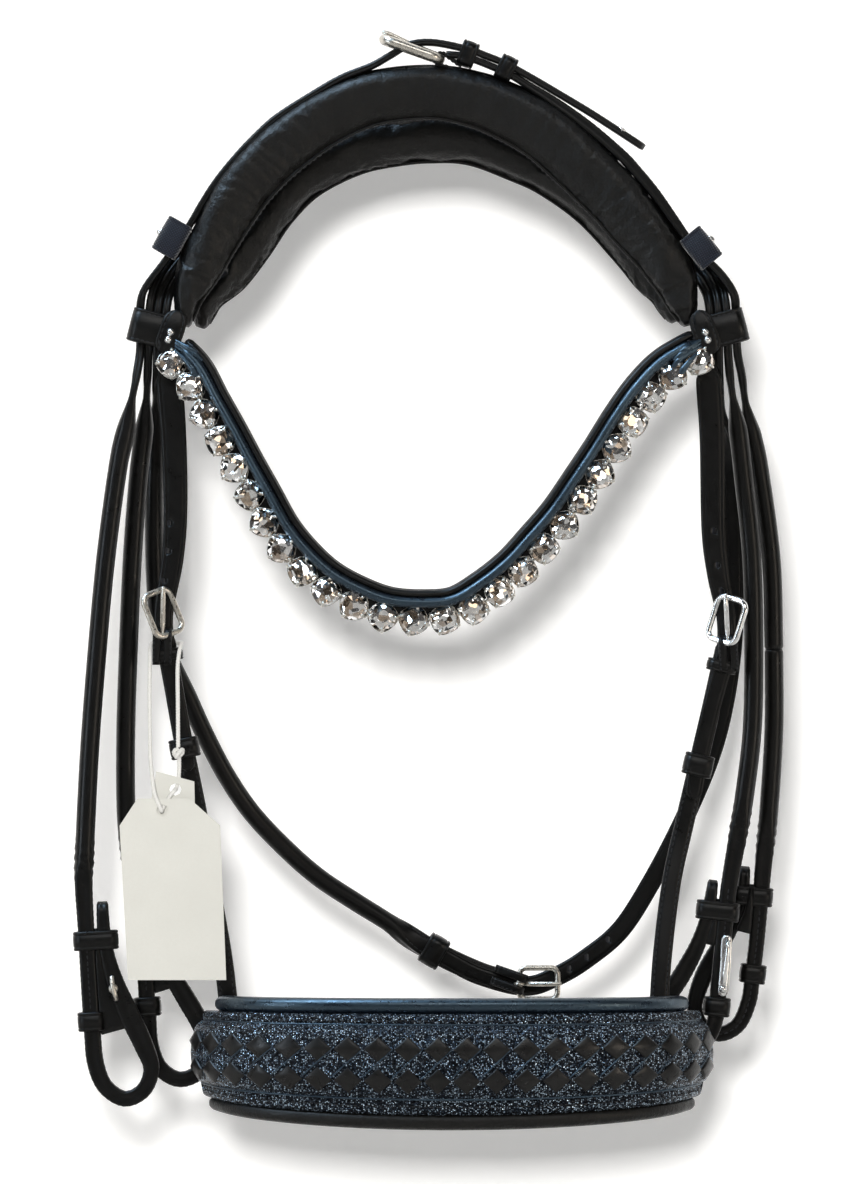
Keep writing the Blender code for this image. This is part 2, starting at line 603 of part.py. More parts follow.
def noseband():
    face = [(-425.4, 0), (-425.4, 4.6), (-427, 6.2), (-430.4, 6.2), (-431.2, 7.6), (-436, 10.6),
        (-443, 12.3), (-450, 12.8),
            (-457, 12.3), (-463, 10.6), (-467.6, 7.6), (-468.4, 6.4), (-474, 6.2), (-475.7, 4.6),
            (-475.7, 0)]
    pad = [(-425.4, -0.4), (-475.7, -0.4), (-476.0, -2), (-474.5, -6), (-426.5, -6), (-425.0, -2)]
    upper = [(-421.7 + u, v - 0.6) for u, v in oval(6.4, 9.6, 8)]
    lower = [(-480.6 + u, v - 0.6) for u, v in oval(8.4, 10.6, 8)]
    for name, section, reach, slot in (
        ("noseband_shell", face, 1.0, "glitter"),
        ("noseband_pad", pad, 0.985, "padding_leather"),
        ("noseband_roll_upper", upper, 0.93, "padding_leather"),
        ("noseband_roll_lower", lower, 0.93, "padding_leather"),
    ):
        line = nose_plan(reach, 13)
        middle = sum(z for z, _ in section) / len(section)
        line[:, 2] = middle
        turned = [(v, middle - z) for z, v in section]
        sections = [[(-b, a) for a, b in turned]] * len(line)
        loft(name, line, [(0, 0, 1)] * len(line), sections, slot)


def chin_strap():
    def rows(points, y_shift=0.0):
        return [(x + NOSE_X, y + y_shift, -444) for x, y in points]

    left = rows([(-95.5, -25.5), (-91, -12), (-82, 2), (-62, 17), (-38, 26.5), (-16, 30), (-3, 30.3)])
    right = rows([(95.5, -25.5), (91, -12), (82, 2), (62, 17.5), (38, 29), (16, 33.6), (0, 34.4),
        (-16, 33.9), (-34, 31.2)])
    for name, line in (("chin_strap_buckle_side", left), ("chin_strap_point_side", right)):
        line = smooth_rows(line, 10)
        loft(name, line, [(0, 0, 1)] * len(line), [chamfered(16, 3)] * len(line), "black_leather")
    frame_ring("chin_buckle", (NOSE_X + 2, 38.0, -444), (0, 1, 0), (1, 0, 0), 11, 10.4, 3.2, 3.0)
    foot = NOSE_X + 2 - 9.5
    rod("chin_tongue", [(foot + 2.6, 38.0, -444), (foot + 9, 39.6, -444), (foot + 18, 41.2, -444),
        (foot + 22.5, 41.1, -444)], (2.4, 2.4, 2.2, 1.8))


# ---- throatlatch ---------------------------------------------------------

THROAT_LEFT = [(-140.4, 0, SWING_START, 11, BLADE, 0), (-140.5, 1.2, -103, 11, BLADE, 0),
    (-140.9, 10, -111, 11, BLADE, 0), (-141.4, 19, -121, 10.5, 3.4, 0), (-142, 21, -137, 9.6, 9, 0),
               (-142.4, 21, -170, 9.4, 9.4, 0), (-142, 21, -205, 9.4, 9.4, 0),
               (-140, 21, -230, 9.4, 9.4, 0), (-134.5, 21, -250, 9.4, 9.4, 0),
               (-126, 22, -268, 9.4, 9.4, 0), (-117, 24, -288, 9.4, 9.4, 0),
               (-106, 27, -309, 9.4, 9.4, 0), (-93, 31, -328, 9.4, 9.4, 0),
               (-76, 35, -346, 9.4, 9.4, 0), (-60, 38, -360, 9.4, 9.4, 0), (-42, 40.5, -372, 9.4, 9.4, 0),
               (-26, 42, -382, 9.6, 9, 30),
               (-12, 43, -391.5, 10.4, 8, 75), (4, 43.6, -400.5, 11, 7.4, 90),
               (22, 44, -408.5, 11, 7, 90), (36, 44, -412.6, 11, 6.4, 90)]
THROAT_RIGHT = [(140.4, 0, SWING_START, 11, BLADE, 0), (140.5, 1.4, -103, 11, BLADE, 0),
    (141, 12, -112, 11, BLADE, 0), (142, 24, -124, 10.5, BLADE, 0), (144.6, 28.5, -140, 10, BLADE, -45),
                (147.4, 29.5, -165, 9.6, BLADE, -90), (148.6, 30, -205, 9.6, BLADE, -90),
                (148.2, 31, -240, 9.6, BLADE, -90), (144, 32, -272, 9.6, BLADE, -90),
                (136.6, 33, -300, 9.6, BLADE, -90), (123, 34.5, -332, 9.6, BLADE, -90),
                (107.4, 36, -362, 9.6, BLADE, -90), (92, 37, -386, 9.8, BLADE, -90),
                (75, 37.6, -400.5, 10, BLADE, -90), (60, 38, -409.5, 10, BLADE, -90),
                (44, 38, -414.6, 10, BLADE, -90), (22, 38, -409.4, 10, BLADE, -90),
                (8, 37.6, -402.6, 10, BLADE, -90), (-4, 37.2, -395.4, 9.6, BLADE, -90)]


def throatlatch():
    strap("throatlatch_buckle_strap", THROAT_LEFT, step=10)
    point = strap("throatlatch_point_strap", THROAT_RIGHT, step=10)
    for x, z in ((67, -405.6), (76, -399.8), (87, -391)):
        punch(point, (x, 37.6, z), (0, 1, 0), 2.2, 1.6, (0.85, 0, 0.5))
    frame_ring("throatlatch_buckle", (50.5, 33.2, -413.2), (0, 1, 0), (1, 0, 0), 9.6, 7.9, 3, 3)
    foot = np.array((42.6, 33.2, -413.4))
    rod("throatlatch_tongue", [foot + (2.6, 0, 0), foot + (8, -1.6, 0), foot + (15.4, -3.0, 0.1),
        foot + (19.5, -2.9, 0.2)], (2.4, 2.4, 2.2, 1.8))
    keeper("throatlatch_keeper", (-2, 41.0, -397.2), (16, 0.4, -9.2), (0, 1, 0), 7.2, 6.4, 10.5, wall=1.5)


# ---- swing tags ----------------------------------------------------------

TAG_Y = -19.0


def card(name, outline, y, thick, hole):
    points = [(x, y + side * thick / 2, z) for side in (-1, 1) for x, z in outline]
    count = len(outline)
    faces = [tuple(range(count)), tuple(reversed(range(count, 2 * count)))]
    faces += [((k + 1) % count, k, k + count, (k + 1) % count + count) for k in range(count)]
    made = add_mesh(name, points, faces, "card")
    punch(made, (hole[0], y, hole[1]), (0, 1, 0), 3.0, 3.0)
    return made


def tags():
    card("swing_tag", [(-154.6, -410), (-105.6, -410), (-108.6, -333), (-123.9, -319.5), (-149.9, -319.5),
        (-158.8, -333)], TAG_Y, 1.0, (-137.4, -325.5))
    cord()
    card("small_tag", [(-146, -336), (-121, -337), (-121.6, -311),
        (-140.6, -306)], TAG_Y + 4.2, 0.8, (-131, -315))


CORD = 2.2
CORD_ROUTE = [(-129.6, -17.4, -294), (-129.8, -15.6, -272), (-130.0, -12.8, -256), (-129.4, -11.2, -248),
    (-128.4, -8.4, -243),
              (-128.2, -2.6, -242), (-129.4, 3.4, -242), (-132.6, 6.4, -242), (-137, 6.8, -242),
              (-141.6, 4.4, -242.2),
              (-143.6, -2.6, -243), (-143.9, -9.6, -250), (-143.9, -15.4, -272), (-143.4, -19.2, -298),
              (-141.6, -22.2, -315),
              (-139.4, -23.2, -321.6), (-137.9, -21.6, -325.1), (-137.7, -17.4, -325.4),
              (-135.8, -16.4, -321.8), (-132.9, -17.4, -317.2),
              (-131.2, -16.8, -315.2), (-130.9, -12.9, -314.9), (-129.8, -11.4, -311.4),
              (-129.2, -12.0, -305), (-129.2, -14.0, -298.4)]


def cord():
    line = smooth_rows(CORD_ROUTE, 5.6)
    curve = bpy.data.curves.new("tag_cord", "CURVE")
    curve.dimensions = "3D"
    curve.bevel_depth = CORD / 2 * MM
    curve.bevel_resolution = 2
    curve.use_fill_caps = True
    spline = curve.splines.new("POLY")
    spline.points.add(len(line) - 1)
    for point, place in zip(spline.points, line, strict=True):
        point.co = (*(place * MM), 1)
    made = bpy.data.objects.new("tag_cord", curve)
    bpy.context.scene.collection.objects.link(made)
    curve.materials.append(material_for("tag_cord", "cord"))


def studs():
    """The hook studs that close the bit straps, where they show: a small bar on each one's face."""
    rod("bradoon_stud_left", [(-162.6, -14.6, -410), (-162.0, -14.6, -414.5),
        (-160.8, -14.6, -419)], (2.4, 2.8, 2.2))
    rod("curb_stud_right", [(144.6, -2.6, -390), (143.8, -2.6, -404),
        (142.4, -2.6, -417.6)], (2.4, 3.0, 2.4))


def main():
    clear_scene()
    headpiece()
    sliphead()
    browband()
    bit_straps()
    studs()
    hangers()
    noseband()
    chin_strap()
    throatlatch()
    tags()


main()
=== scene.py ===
"""The look of a black leather bridle with a crystal browband, hanging in front of a white wall.

Each piece is built in millimetres on the same centre lines as the solids. It becomes metres when
its mesh is made, and then rides on the body of the solid that it stands for, except a piece that
bends between two bodies, which stays where it was made.
"""

import math

import bpy
import numpy as np
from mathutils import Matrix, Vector, noise


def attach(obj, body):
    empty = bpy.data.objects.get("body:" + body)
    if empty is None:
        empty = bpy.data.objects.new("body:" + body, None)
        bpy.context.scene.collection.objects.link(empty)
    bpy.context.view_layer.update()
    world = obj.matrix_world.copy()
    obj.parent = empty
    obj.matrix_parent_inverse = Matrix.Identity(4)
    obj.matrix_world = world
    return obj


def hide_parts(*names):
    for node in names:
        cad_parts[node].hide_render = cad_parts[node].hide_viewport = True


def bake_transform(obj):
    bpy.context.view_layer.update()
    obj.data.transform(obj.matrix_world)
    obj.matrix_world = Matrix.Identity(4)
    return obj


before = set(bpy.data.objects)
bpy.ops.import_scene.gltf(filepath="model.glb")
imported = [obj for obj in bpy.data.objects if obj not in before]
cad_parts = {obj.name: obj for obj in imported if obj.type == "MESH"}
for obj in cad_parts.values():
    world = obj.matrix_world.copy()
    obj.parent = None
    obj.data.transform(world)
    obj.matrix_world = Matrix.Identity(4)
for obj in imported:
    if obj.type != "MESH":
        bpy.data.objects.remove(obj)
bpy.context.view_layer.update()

MM = 0.001
UP = np.array((0.0, 0.0, 1.0))
BACK = np.array((0.0, 1.0, 0.0))

# ---- camera, lights and stage ----------------------------------------------

FRAME_TALL = 592 * 0.001  # height of the framed area at the object, in metres
CAMERA_AWAY = 7.0
CAMERA_X = -0.003
CAMERA_Z = -0.2165
WALL_Y = 0.2
FLOOR_Z = -0.62


def make_camera():
    data = bpy.data.cameras.new("camera")
    data.sensor_width = 36
    data.lens = data.sensor_width * CAMERA_AWAY / FRAME_TALL
    data.clip_end = 50
    made = bpy.data.objects.new("camera", data)
    made.location = (CAMERA_X, -CAMERA_AWAY, CAMERA_Z)
    made.rotation_euler = (math.pi / 2, 0, 0)
    bpy.context.scene.collection.objects.link(made)
    bpy.context.scene.camera = made


def area_light(name, place, size, power, colour, diffuse=False, glossy=True):
    data = bpy.data.lights.new(name, "AREA")
    data.shape = "RECTANGLE"
    data.size, data.size_y = size
    data.energy = power
    data.color = colour
    made = bpy.data.objects.new(name, data)
    made.location = place
    made.rotation_euler = (Vector((0, 0, -0.2)) - Vector(place)).to_track_quat("-Z", "Y").to_euler()
    made.visible_diffuse = diffuse
    made.visible_glossy = glossy
    bpy.context.scene.collection.objects.link(made)


def node(tree, kind, inputs=None, **settings):
    """A shader node with its settings, and with each input either set or linked."""
    made = tree.nodes.new("ShaderNode" + kind)
    for key, value in settings.items():
        setattr(made, key, value)
    for key, value in (inputs or {}).items():
        socket = made.inputs[key]
        if isinstance(value, bpy.types.NodeSocket):
            tree.links.new(value, socket)
        else:
            socket.default_value = value
    return made


def stage_plane(name, corners, colour, glow):
    mesh = bpy.data.meshes.new(name)
    mesh.from_pydata(corners, [], [(0, 1, 2, 3)])
    made = bpy.data.objects.new(name, mesh)
    bpy.context.scene.collection.objects.link(made)
    material = bpy.data.materials.new(name)
    material.use_nodes = True
    tree = material.node_tree
    shader = tree.nodes["Principled BSDF"]
    shader.inputs["Base Color"].default_value = (*colour, 1)
    shader.inputs["Roughness"].default_value = 0.9
    shader.inputs["Specular IOR Level"].default_value = 0.1
    shader.inputs["Emission Color"].default_value = (*colour, 1)
    shader.inputs["Emission Strength"].default_value = glow
    clear = node(tree, "BsdfTransparent")
    behind = node(tree, "NewGeometry").outputs["Backfacing"]
    mix = node(tree, "MixShader", {0: behind, 1: shader.outputs[0], 2: clear.outputs[0]})
    tree.links.new(mix.outputs[0], tree.nodes["Material Output"].inputs["Surface"])
    mesh.materials.append(material)


def make_stage():
    stage_plane("wall", [(-6, WALL_Y, -5), (6, WALL_Y, -5), (6, WALL_Y, 5), (-6, WALL_Y, 5)],
                (0.95, 0.945, 0.94), 0.2)
    stage_plane("floor", [(-6, -6, FLOOR_Z), (6, -6, FLOOR_Z), (6, 6, FLOOR_Z), (-6, 6, FLOOR_Z)],
                (0.86, 0.86, 0.85), 0.0)
    area_light("shadow_light", (-0.36, -9.0, 0.68), (0.75, 0.75), 700, (1, 0.99, 0.97),
               diffuse=True, glossy=False)
    area_light("back_fill", (0.4, 2.2, 1.2), (1.5, 1.5), 14, (1, 1, 1), diffuse=True)
    area_light("cool_top_left", (-1.4, -0.9, 1.8), (1.3, 0.8), 55, (0.62, 0.81, 1.0))
    area_light("cool_rim", (-0.6, 0.0, 1.7), (1.4, 0.25), 32, (0.5, 0.74, 1.0))
    area_light("soft_front", (0.5, -3.4, 1.9), (2.6, 1.2), 36, (1.0, 0.98, 0.95))
    area_light("warm_right", (1.9, -1.7, -0.5), (0.8, 1.4), 16, (1.0, 0.88, 0.74))
    area_light("strip_left", (-1.7, -1.1, -0.3), (0.25, 1.6), 14, (0.8, 0.9, 1.0))
    world = bpy.data.worlds.new("world")
    world.use_nodes = True
    world.node_tree.nodes["Background"].inputs[0].default_value = (0.9, 0.9, 0.91, 1)
    world.node_tree.nodes["Background"].inputs[1].default_value = 0.1
    bpy.context.scene.world = world
    bpy.context.scene.view_settings.view_transform = "Standard"


# ---- materials ---------------------------------------------------------------


def blank(name, rough, metal=0.0, **constants):
    made = bpy.data.materials.new(name)
    made.use_nodes = True
    shader = made.node_tree.nodes["Principled BSDF"]
    shader.inputs["Roughness"].default_value = rough
    shader.inputs["Metallic"].default_value = metal
    for key, value in constants.items():
        shader.inputs[key.replace("_", " ")].default_value = value
    return made, made.node_tree, shader


def grain(tree, scale, detail=3.0, place=None, rough=0.55):
    place = place or node(tree, "TexCoord").outputs["Object"]
    return node(tree, "TexNoise", {"Vector": place, "Scale": scale, "Detail": detail,
                                   "Roughness": rough}).outputs[0]


def spread(tree, value, low, high, start=0.3, end=0.7):
    """The value between start and end, mapped to low and high."""
    inputs = {"Value": value, "From Min": start, "From Max": end, "To Min": low, "To Max": high}
    return node(tree, "MapRange", inputs).outputs[0]


def mixed(tree, share, one, two):
    made = node(tree, "Mix", data_type="RGBA")
    for socket, value in ((0, share), (6, one), (7, two)):
        if isinstance(value, bpy.types.NodeSocket):
            tree.links.new(value, made.inputs[socket])
        else:
            made.inputs[socket].default_value = value if socket == 0 else (*value, 1)
    return made.outputs[2]


def bumps(tree, shader, *layers):
    """Stacked bumps: each layer is a height and its depth in metres."""
    normal = None
    for height, depth in layers:
        inputs = {"Height": height, "Distance": depth, "Strength": 1.0}
        if normal:
            inputs["Normal"] = normal
        normal = node(tree, "Bump", inputs).outputs[0]
    tree.links.new(normal, shader.inputs["Normal"])


def leather(name, dark, light, pebble=1.3, depth=0.00012, rough=0.4, worn=(0.02, 0.02, 0.02),
            coat=0.12, shine=0.16, creases=0.0, highlight_tint=(1, 1, 1)):
    """Dyed leather: pebbles of that size in millimetres, pores, faint stains and paler edges. The
    tint colours its highlights, which paints a colour of light into them.
    """
    made, tree, shader = blank(name, rough, Coat_Weight=coat, Coat_Roughness=0.22,
                               Specular_IOR_Level=shine, Specular_Tint=(*highlight_tint, 1))
    place = node(tree, "TexCoord").outputs["Object"]
    drift = grain(tree, 38, 4, place)
    colour = mixed(tree, spread(tree, drift, 0, 1), dark, light)
    edge = spread(tree, node(tree, "NewGeometry").outputs["Pointiness"], 0, 0.55, 0.53, 0.66)
    shader_colour = mixed(tree, edge, colour, worn)
    tree.links.new(shader_colour, shader.inputs["Base Color"])
    warped = node(tree, "VectorMath", {0: place}, operation="ADD")
    wave = node(tree, "TexNoise", {"Vector": place, "Scale": 420.0, "Detail": 2.0})
    nudge = node(tree, "VectorMath", {0: wave.outputs[1], "Scale": 0.0011}, operation="SCALE")
    tree.links.new(nudge.outputs[0], warped.inputs[1])
    cells = node(tree, "TexVoronoi", {"Vector": warped.outputs[0], "Scale": 1000 / pebble})
    pores = grain(tree, 2600 / pebble, 4, place)
    tree.links.new(spread(tree, grain(tree, 260, 5, place), rough - 0.09, rough + 0.12),
                   shader.inputs["Roughness"])
    layers = [(cells.outputs["Distance"], -depth), (pores, depth * 0.6), (drift, depth * 3)]
    if creases:
        stretched = node(tree, "Mapping", {"Vector": place, "Scale": (1.0, 0.4, 0.35)})
        lines = node(tree, "TexNoise", {"Vector": stretched.outputs[0], "Scale": 330.0,
                                        "Detail": 5.0, "Distortion": 1.2})
        layers.append((lines.outputs[0], creases))
    bumps(tree, shader, *layers)
    return made


def woven(name, dark, light, threads=0.55):
    """A woven textile, with one thread over the next."""
    made, tree, shader = blank(name, 0.85, Sheen_Weight=0.5, Sheen_Roughness=0.4)
    place = node(tree, "TexCoord").outputs["Object"]
    turned = node(tree, "Mapping", {"Vector": place,
                                    "Rotation": (0, math.radians(30), 0)}).outputs[0]
    warp, weft = (node(tree, "TexWave", {"Vector": turned, "Scale": 160 / threads,
                                         "Distortion": 0.6, "Detail": 1.0},
                       bands_direction=way).outputs[1] for way in ("X", "Z"))
    over = node(tree, "Math", {0: warp, 1: weft}, operation="MULTIPLY").outputs[0]
    tree.links.new(mixed(tree, spread(tree, over, 0, 1, 0, 0.8), dark, light),
                   shader.inputs["Base Color"])
    bumps(tree, shader, (over, 0.0002), (grain(tree, 3000, 2, place), 0.00005))
    return made


def tilted(tree, shader, colours, how_much, height=None):
    """Tilts the surface in each cell by the cell's colour, and raises it by a height."""
    tilt = node(tree, "VectorMath", {0: colours, 1: (0.5, 0.5, 0.5)}, operation="SUBTRACT")
    lean = node(tree, "VectorMath", {0: tilt.outputs[0], "Scale": how_much}, operation="SCALE")
    face = node(tree, "NewGeometry").outputs["Normal"]
    summed = node(tree, "VectorMath", {0: face, 1: lean.outputs[0]}, operation="ADD")
    normal = node(tree, "VectorMath", {0: summed.outputs[0]}, operation="NORMALIZE").outputs[0]
    if height:
        normal = node(tree, "Bump", {"Height": height, "Distance": 0.0004,
                                     "Normal": normal}).outputs[0]
    tree.links.new(normal, shader.inputs["Normal"])


def glitter(name):
    """Fine beads of glass and metal, set close together in a dark navy ground."""
    made, tree, shader = blank(name, 0.25, 0.75)
    place = node(tree, "TexCoord").outputs["Object"]
    beads = node(tree, "TexVoronoi", {"Vector": place, "Scale": 1150.0, "Randomness": 0.85})
    parts = node(tree, "SeparateColor", {0: beads.outputs["Color"]})
    inside = spread(tree, beads.outputs["Distance"], 1, 0, 0.28, 0.5)
    bright = spread(tree, parts.outputs[0], 0, 1, 0.35, 0.9)
    bead = mixed(tree, bright, (0.018, 0.028, 0.045), (0.66, 0.83, 1.0))
    tree.links.new(mixed(tree, inside, (0.002, 0.003, 0.0055), bead), shader.inputs["Base Color"])
    tilted(tree, shader, beads.outputs["Color"], 0.9, inside)
    tree.links.new(spread(tree, parts.outputs[1], 0.14, 0.42, 0, 1), shader.inputs["Roughness"])
    return made


def metal(name, colour, rough, brushed=0.00002):
    made, tree, shader = blank(name, rough, 1.0)
    place = node(tree, "TexCoord").outputs["Object"]
    tarnish = spread(tree, grain(tree, 210, 5, place), 0, 1)
    tree.links.new(mixed(tree, tarnish, colour, tuple(c * 0.72 for c in colour)),
                   shader.inputs["Base Color"])
    tree.links.new(spread(tree, grain(tree, 700, 4, place), rough - 0.06, rough + 0.12),
                   shader.inputs["Roughness"])
    bumps(tree, shader, (grain(tree, 1900, 3, place), brushed), (tarnish, brushed * 2))
    return made


def crystal(name):
    """Cut glass with a mirror behind it. Its facets show as small tilted cells, white or brown; the
    brown is a painted reflection of the dark leather round the stones.
    """
    made, tree, shader = blank(name, 0.04, 0.62, Transmission_Weight=1.0, IOR=1.6)
    place = node(tree, "TexCoord").outputs["Object"]
    cells = node(tree, "TexVoronoi", {"Vector": place, "Scale": 330.0})
    parts = node(tree, "SeparateColor", {0: cells.outputs["Color"]})
    # Painted reflection: random facet cells are tinted brown, as if they mirrored the dark leather
    # round the stones.
    brown = spread(tree, parts.outputs[0], 0, 1, 0.52, 0.62)
    tree.links.new(mixed(tree, brown, (1, 1, 1), (0.5, 0.4, 0.31)), shader.inputs["Base Color"])
    tilted(tree, shader, cells.outputs["Color"], 0.75)
    return made


def card_stock(name):
    made, tree, shader = blank(name, 0.75, Specular_IOR_Level=0.3)
    place = node(tree, "TexCoord").outputs["Object"]
    fibres = grain(tree, 900, 6, place, 0.7)
    cloud = grain(tree, 30, 2, place)
    base = mixed(tree, spread(tree, cloud, 0, 1), (0.655, 0.65, 0.605), (0.69, 0.685, 0.64))
    tree.links.new(mixed(tree, spread(tree, fibres, 0, 0.35), base, (0.62, 0.61, 0.56)),
                   shader.inputs["Base Color"])
    bumps(tree, shader, (fibres, 0.00007), (cloud, 0.0004))
    return made


def cotton(name):
    made, tree, shader = blank(name, 0.85, Sheen_Weight=0.4)
    place = node(tree, "TexCoord").outputs["Object"]
    fluff = grain(tree, 2200, 4, place)
    tree.links.new(mixed(tree, spread(tree, fluff, 0, 1), (0.88, 0.87, 0.84), (0.68, 0.67, 0.63)),
                   shader.inputs["Base Color"])
    bumps(tree, shader, (fluff, 0.00012))
    return made


LEATHER = leather("bridle_leather", (0.0008, 0.0008, 0.0007), (0.0022, 0.0021, 0.0019), 0.9,
                  0.00005, 0.36, coat=0.1, shine=0.2)
SOFT = leather("padded_leather", (0.0011, 0.001, 0.0008), (0.003, 0.0028, 0.0023), 1.25, 0.00016,
               0.42, coat=0.05, shine=0.3, creases=0.0003)
# Navy leather with blue-tinted highlights: painted blue light in its reflections.
NAVY = leather("navy_leather", (0.002, 0.0035, 0.0065), (0.0045, 0.0075, 0.013), 0.9, 0.00005, 0.3,
               (0.03, 0.045, 0.07), 0.05, 1.0, highlight_tint=(0.55, 0.8, 1.0))
LOZENGE = leather("lozenge_leather", (0.0035, 0.0034, 0.0034), (0.008, 0.0077, 0.0074), 0.8,
                  0.00005, 0.32, coat=0.12, shine=0.25)
THREAD = leather("black_thread", (0.008, 0.009, 0.012), (0.022, 0.024, 0.03), 0.4, 0.00005, 0.5)
TEXTILE = woven("navy_textile", (0.002, 0.003, 0.007), (0.011, 0.015, 0.032))
GLITTER = glitter("glitter")
SATIN = metal("satin_steel", (0.72, 0.68, 0.61), 0.27)
CHROME = metal("bright_steel", (0.88, 0.88, 0.87), 0.14, 0.000008)
CUP_STEEL = metal("cup_steel", (0.8, 0.78, 0.73), 0.24, 0.000008)
CRYSTAL = crystal("cut_glass")
CARD = card_stock("card_stock")
COTTON = cotton("cotton")

# ---- mesh code ---------------------------------------------------------------


def unit(v):
    v = np.asarray(v, float)
    return v / np.linalg.norm(v, axis=-1, keepdims=True)


def smooth(rows, step):
    """Rows about every step mm on a smooth curve through rows that start with x, y, z."""
    rows = np.array(rows, float)
    ends = np.vstack([2 * rows[0] - rows[1], rows, 2 * rows[-1] - rows[-2]])
    t = np.arange(0, 1, 0.05)[:, None]
    fine = []
    for a, b, c, d in zip(ends, ends[1:], ends[2:], ends[3:]):
        square, cube = 2 * a - 5 * b + 4 * c - d, 3 * b - a - 3 * c + d
        fine.append(0.5 * (2 * b + (c - a) * t + square * t**2 + cube * t**3))
    fine = np.vstack([*fine, rows[-1:]])
    fine[:, 3:] = np.clip(fine[:, 3:], rows.min(0)[3:], rows.max(0)[3:])
    along = lengths_along(fine)
    at = np.linspace(0, along[-1], max(3, int(round(along[-1] / step)) + 1))
    return np.stack([np.interp(at, along, column) for column in fine.T], axis=1)


def lengths_along(path):
    return np.concatenate([[0], np.cumsum(np.linalg.norm(np.diff(path[:, :3], axis=0), axis=1))])


def ways(path):
    steps = unit(np.diff(path[:, :3], axis=0))
    return unit(np.vstack([steps[:1], steps[:-1] + steps[1:], steps[-1:]]))


def mesh_piece(name, points, faces, *materials, slots=None, flat=False):
    mesh = bpy.data.meshes.new(name)
    mesh.from_pydata((np.asarray(points, float) * MM).tolist(), [],
                     [tuple(int(i) for i in f) for f in faces])
    for material in materials:
        mesh.materials.append(material)
    if slots is not None:
        mesh.polygons.foreach_set("material_index", slots)
    mesh.polygons.foreach_set("use_smooth", [not flat] * len(mesh.polygons))
    mesh.validate()
    mesh.update()
    made = bpy.data.objects.new(name, mesh)
    bpy.context.scene.collection.objects.link(made)
    return made


class Build:
    """Points and faces that become one mesh with several materials."""

    def __init__(self):
        self.points, self.faces, self.slots, self.count = [], [], [], 0

    def add(self, points, faces, slot=0):
        self.faces += [tuple(i + self.count for i in f) for f in faces]
        self.slots += [slot] * len(faces)
        self.points.append(np.asarray(points, float))
        self.count += len(points)

    def piece(self, name, *materials, flat=False):
        return mesh_piece(name, np.vstack(self.points), self.faces, *materials, slots=self.slots,
                          flat=flat)


def skin(rings, closed_path=False):
    """(points, faces) of a skin through rings of points, shaped (ring, point, 3)."""
    many, count = rings.shape[:2]
    faces = []
    for r in range(many if closed_path else many - 1):
        a, b = r * count, (r + 1) % many * count
        for k in range(count):
            n = (k + 1) % count
            faces.append((a + k, a + n, b + n, b + k))
    if not closed_path:
        faces.append(tuple(range(count))[::-1])
        faces.append(tuple((many - 1) * count + k for k in range(count)))
    return rings.reshape(-1, 3), faces


def swept(path, wide, sections):
    """Rings along a path. A section's first column runs along wide, its second square to both."""
    way = ways(path)
    wide = np.broadcast_to(np.asarray(wide, float), way.shape)
    wide = unit(wide - (wide * way).sum(1, keepdims=True) * way)
    thick = np.cross(way, wide)
    sections = np.broadcast_to(np.asarray(sections, float), (len(path), *np.shape(sections)[-2:]))
    return path[:, None, :3] + sections[..., :1] * wide[:, None] + sections[..., 1:] * thick[:,
                                                                                             None]


SECTION_POINTS = 36


def strap_section(width, thick, flat, layers):
    """A strap's section: rounded edges, pressed lines and, for two layers, a line in each edge."""
    w, t = width / 2, thick / 2
    r = min(0.8 * t, 1.1)
    c = min(1.9, 0.34 * w)
    d = 0.28
    groove = min(0.45, 0.3 * t) if layers else 0.0
    quarter = [(w - groove, 0), (w, 0.28 * t), (w, t - r), (w - 0.3 * r, t - 0.3 * r), (w - r, t),
               (w - c + 0.4, t), (w - c, t - d), (w - c - 0.4, t), (0.4 * w, t + 0.08)]
    top = quarter + [(0, t + 0.1)]
    half = top + [(-a, b) for a, b in quarter[:0:-1]]
    shape = np.array(half + [(-a, -b) for a, b in half])
    turns = 2 * math.pi * np.arange(SECTION_POINTS) / SECTION_POINTS
    rolled = np.stack([w * np.cos(turns), t * np.sin(turns)], axis=1)
    rolled[0] *= 0.93  # the seam of a rolled strap
    return flat * shape + (1 - flat) * rolled


def spindles(build, line, pitch=3.1, long=2.3, fat=0.34, slot=1):
    """Stitches along a line: short threads that rise from one hole and sink into the next."""
    along = lengths_along(line)
    if along[-1] < 2 * pitch:
        return
    middle = np.arange(pitch / 2, along[-1], pitch)
    spots = np.stack([np.interp(middle, along, column) for column in line[:, :3].T], axis=1)
    ahead = np.clip(middle + 0.3, 0, along[-1])
    tips = np.stack([np.interp(ahead, along, column) for column in line[:, :3].T], axis=1)
    turns = 2 * math.pi * np.arange(6) / 6
    for spot, tip in zip(spots, tips, strict=True):
        way = unit(tip - spot + 1e-9)
        side = unit(np.cross(way, (0.31, 0.87, 0.39)))
        other = np.cross(way, side)
        ring = side * np.cos(turns)[:, None] + other * np.sin(turns)[:, None]
        points = np.vstack([spot - way * long / 2, spot - way * long * 0.28 + ring * fat,
                            spot + way * long * 0.28 + ring * fat, spot + way * long / 2])
        faces = [(0, 1 + (k + 1) % 6, 1 + k) for k in range(6)]
        faces += [(1 + k, 1 + (k + 1) % 6, 7 + (k + 1) % 6, 7 + k) for k in range(6)]
        faces += [(13, 7 + k, 7 + (k + 1) % 6) for k in range(6)]
        build.add(points, faces, slot)


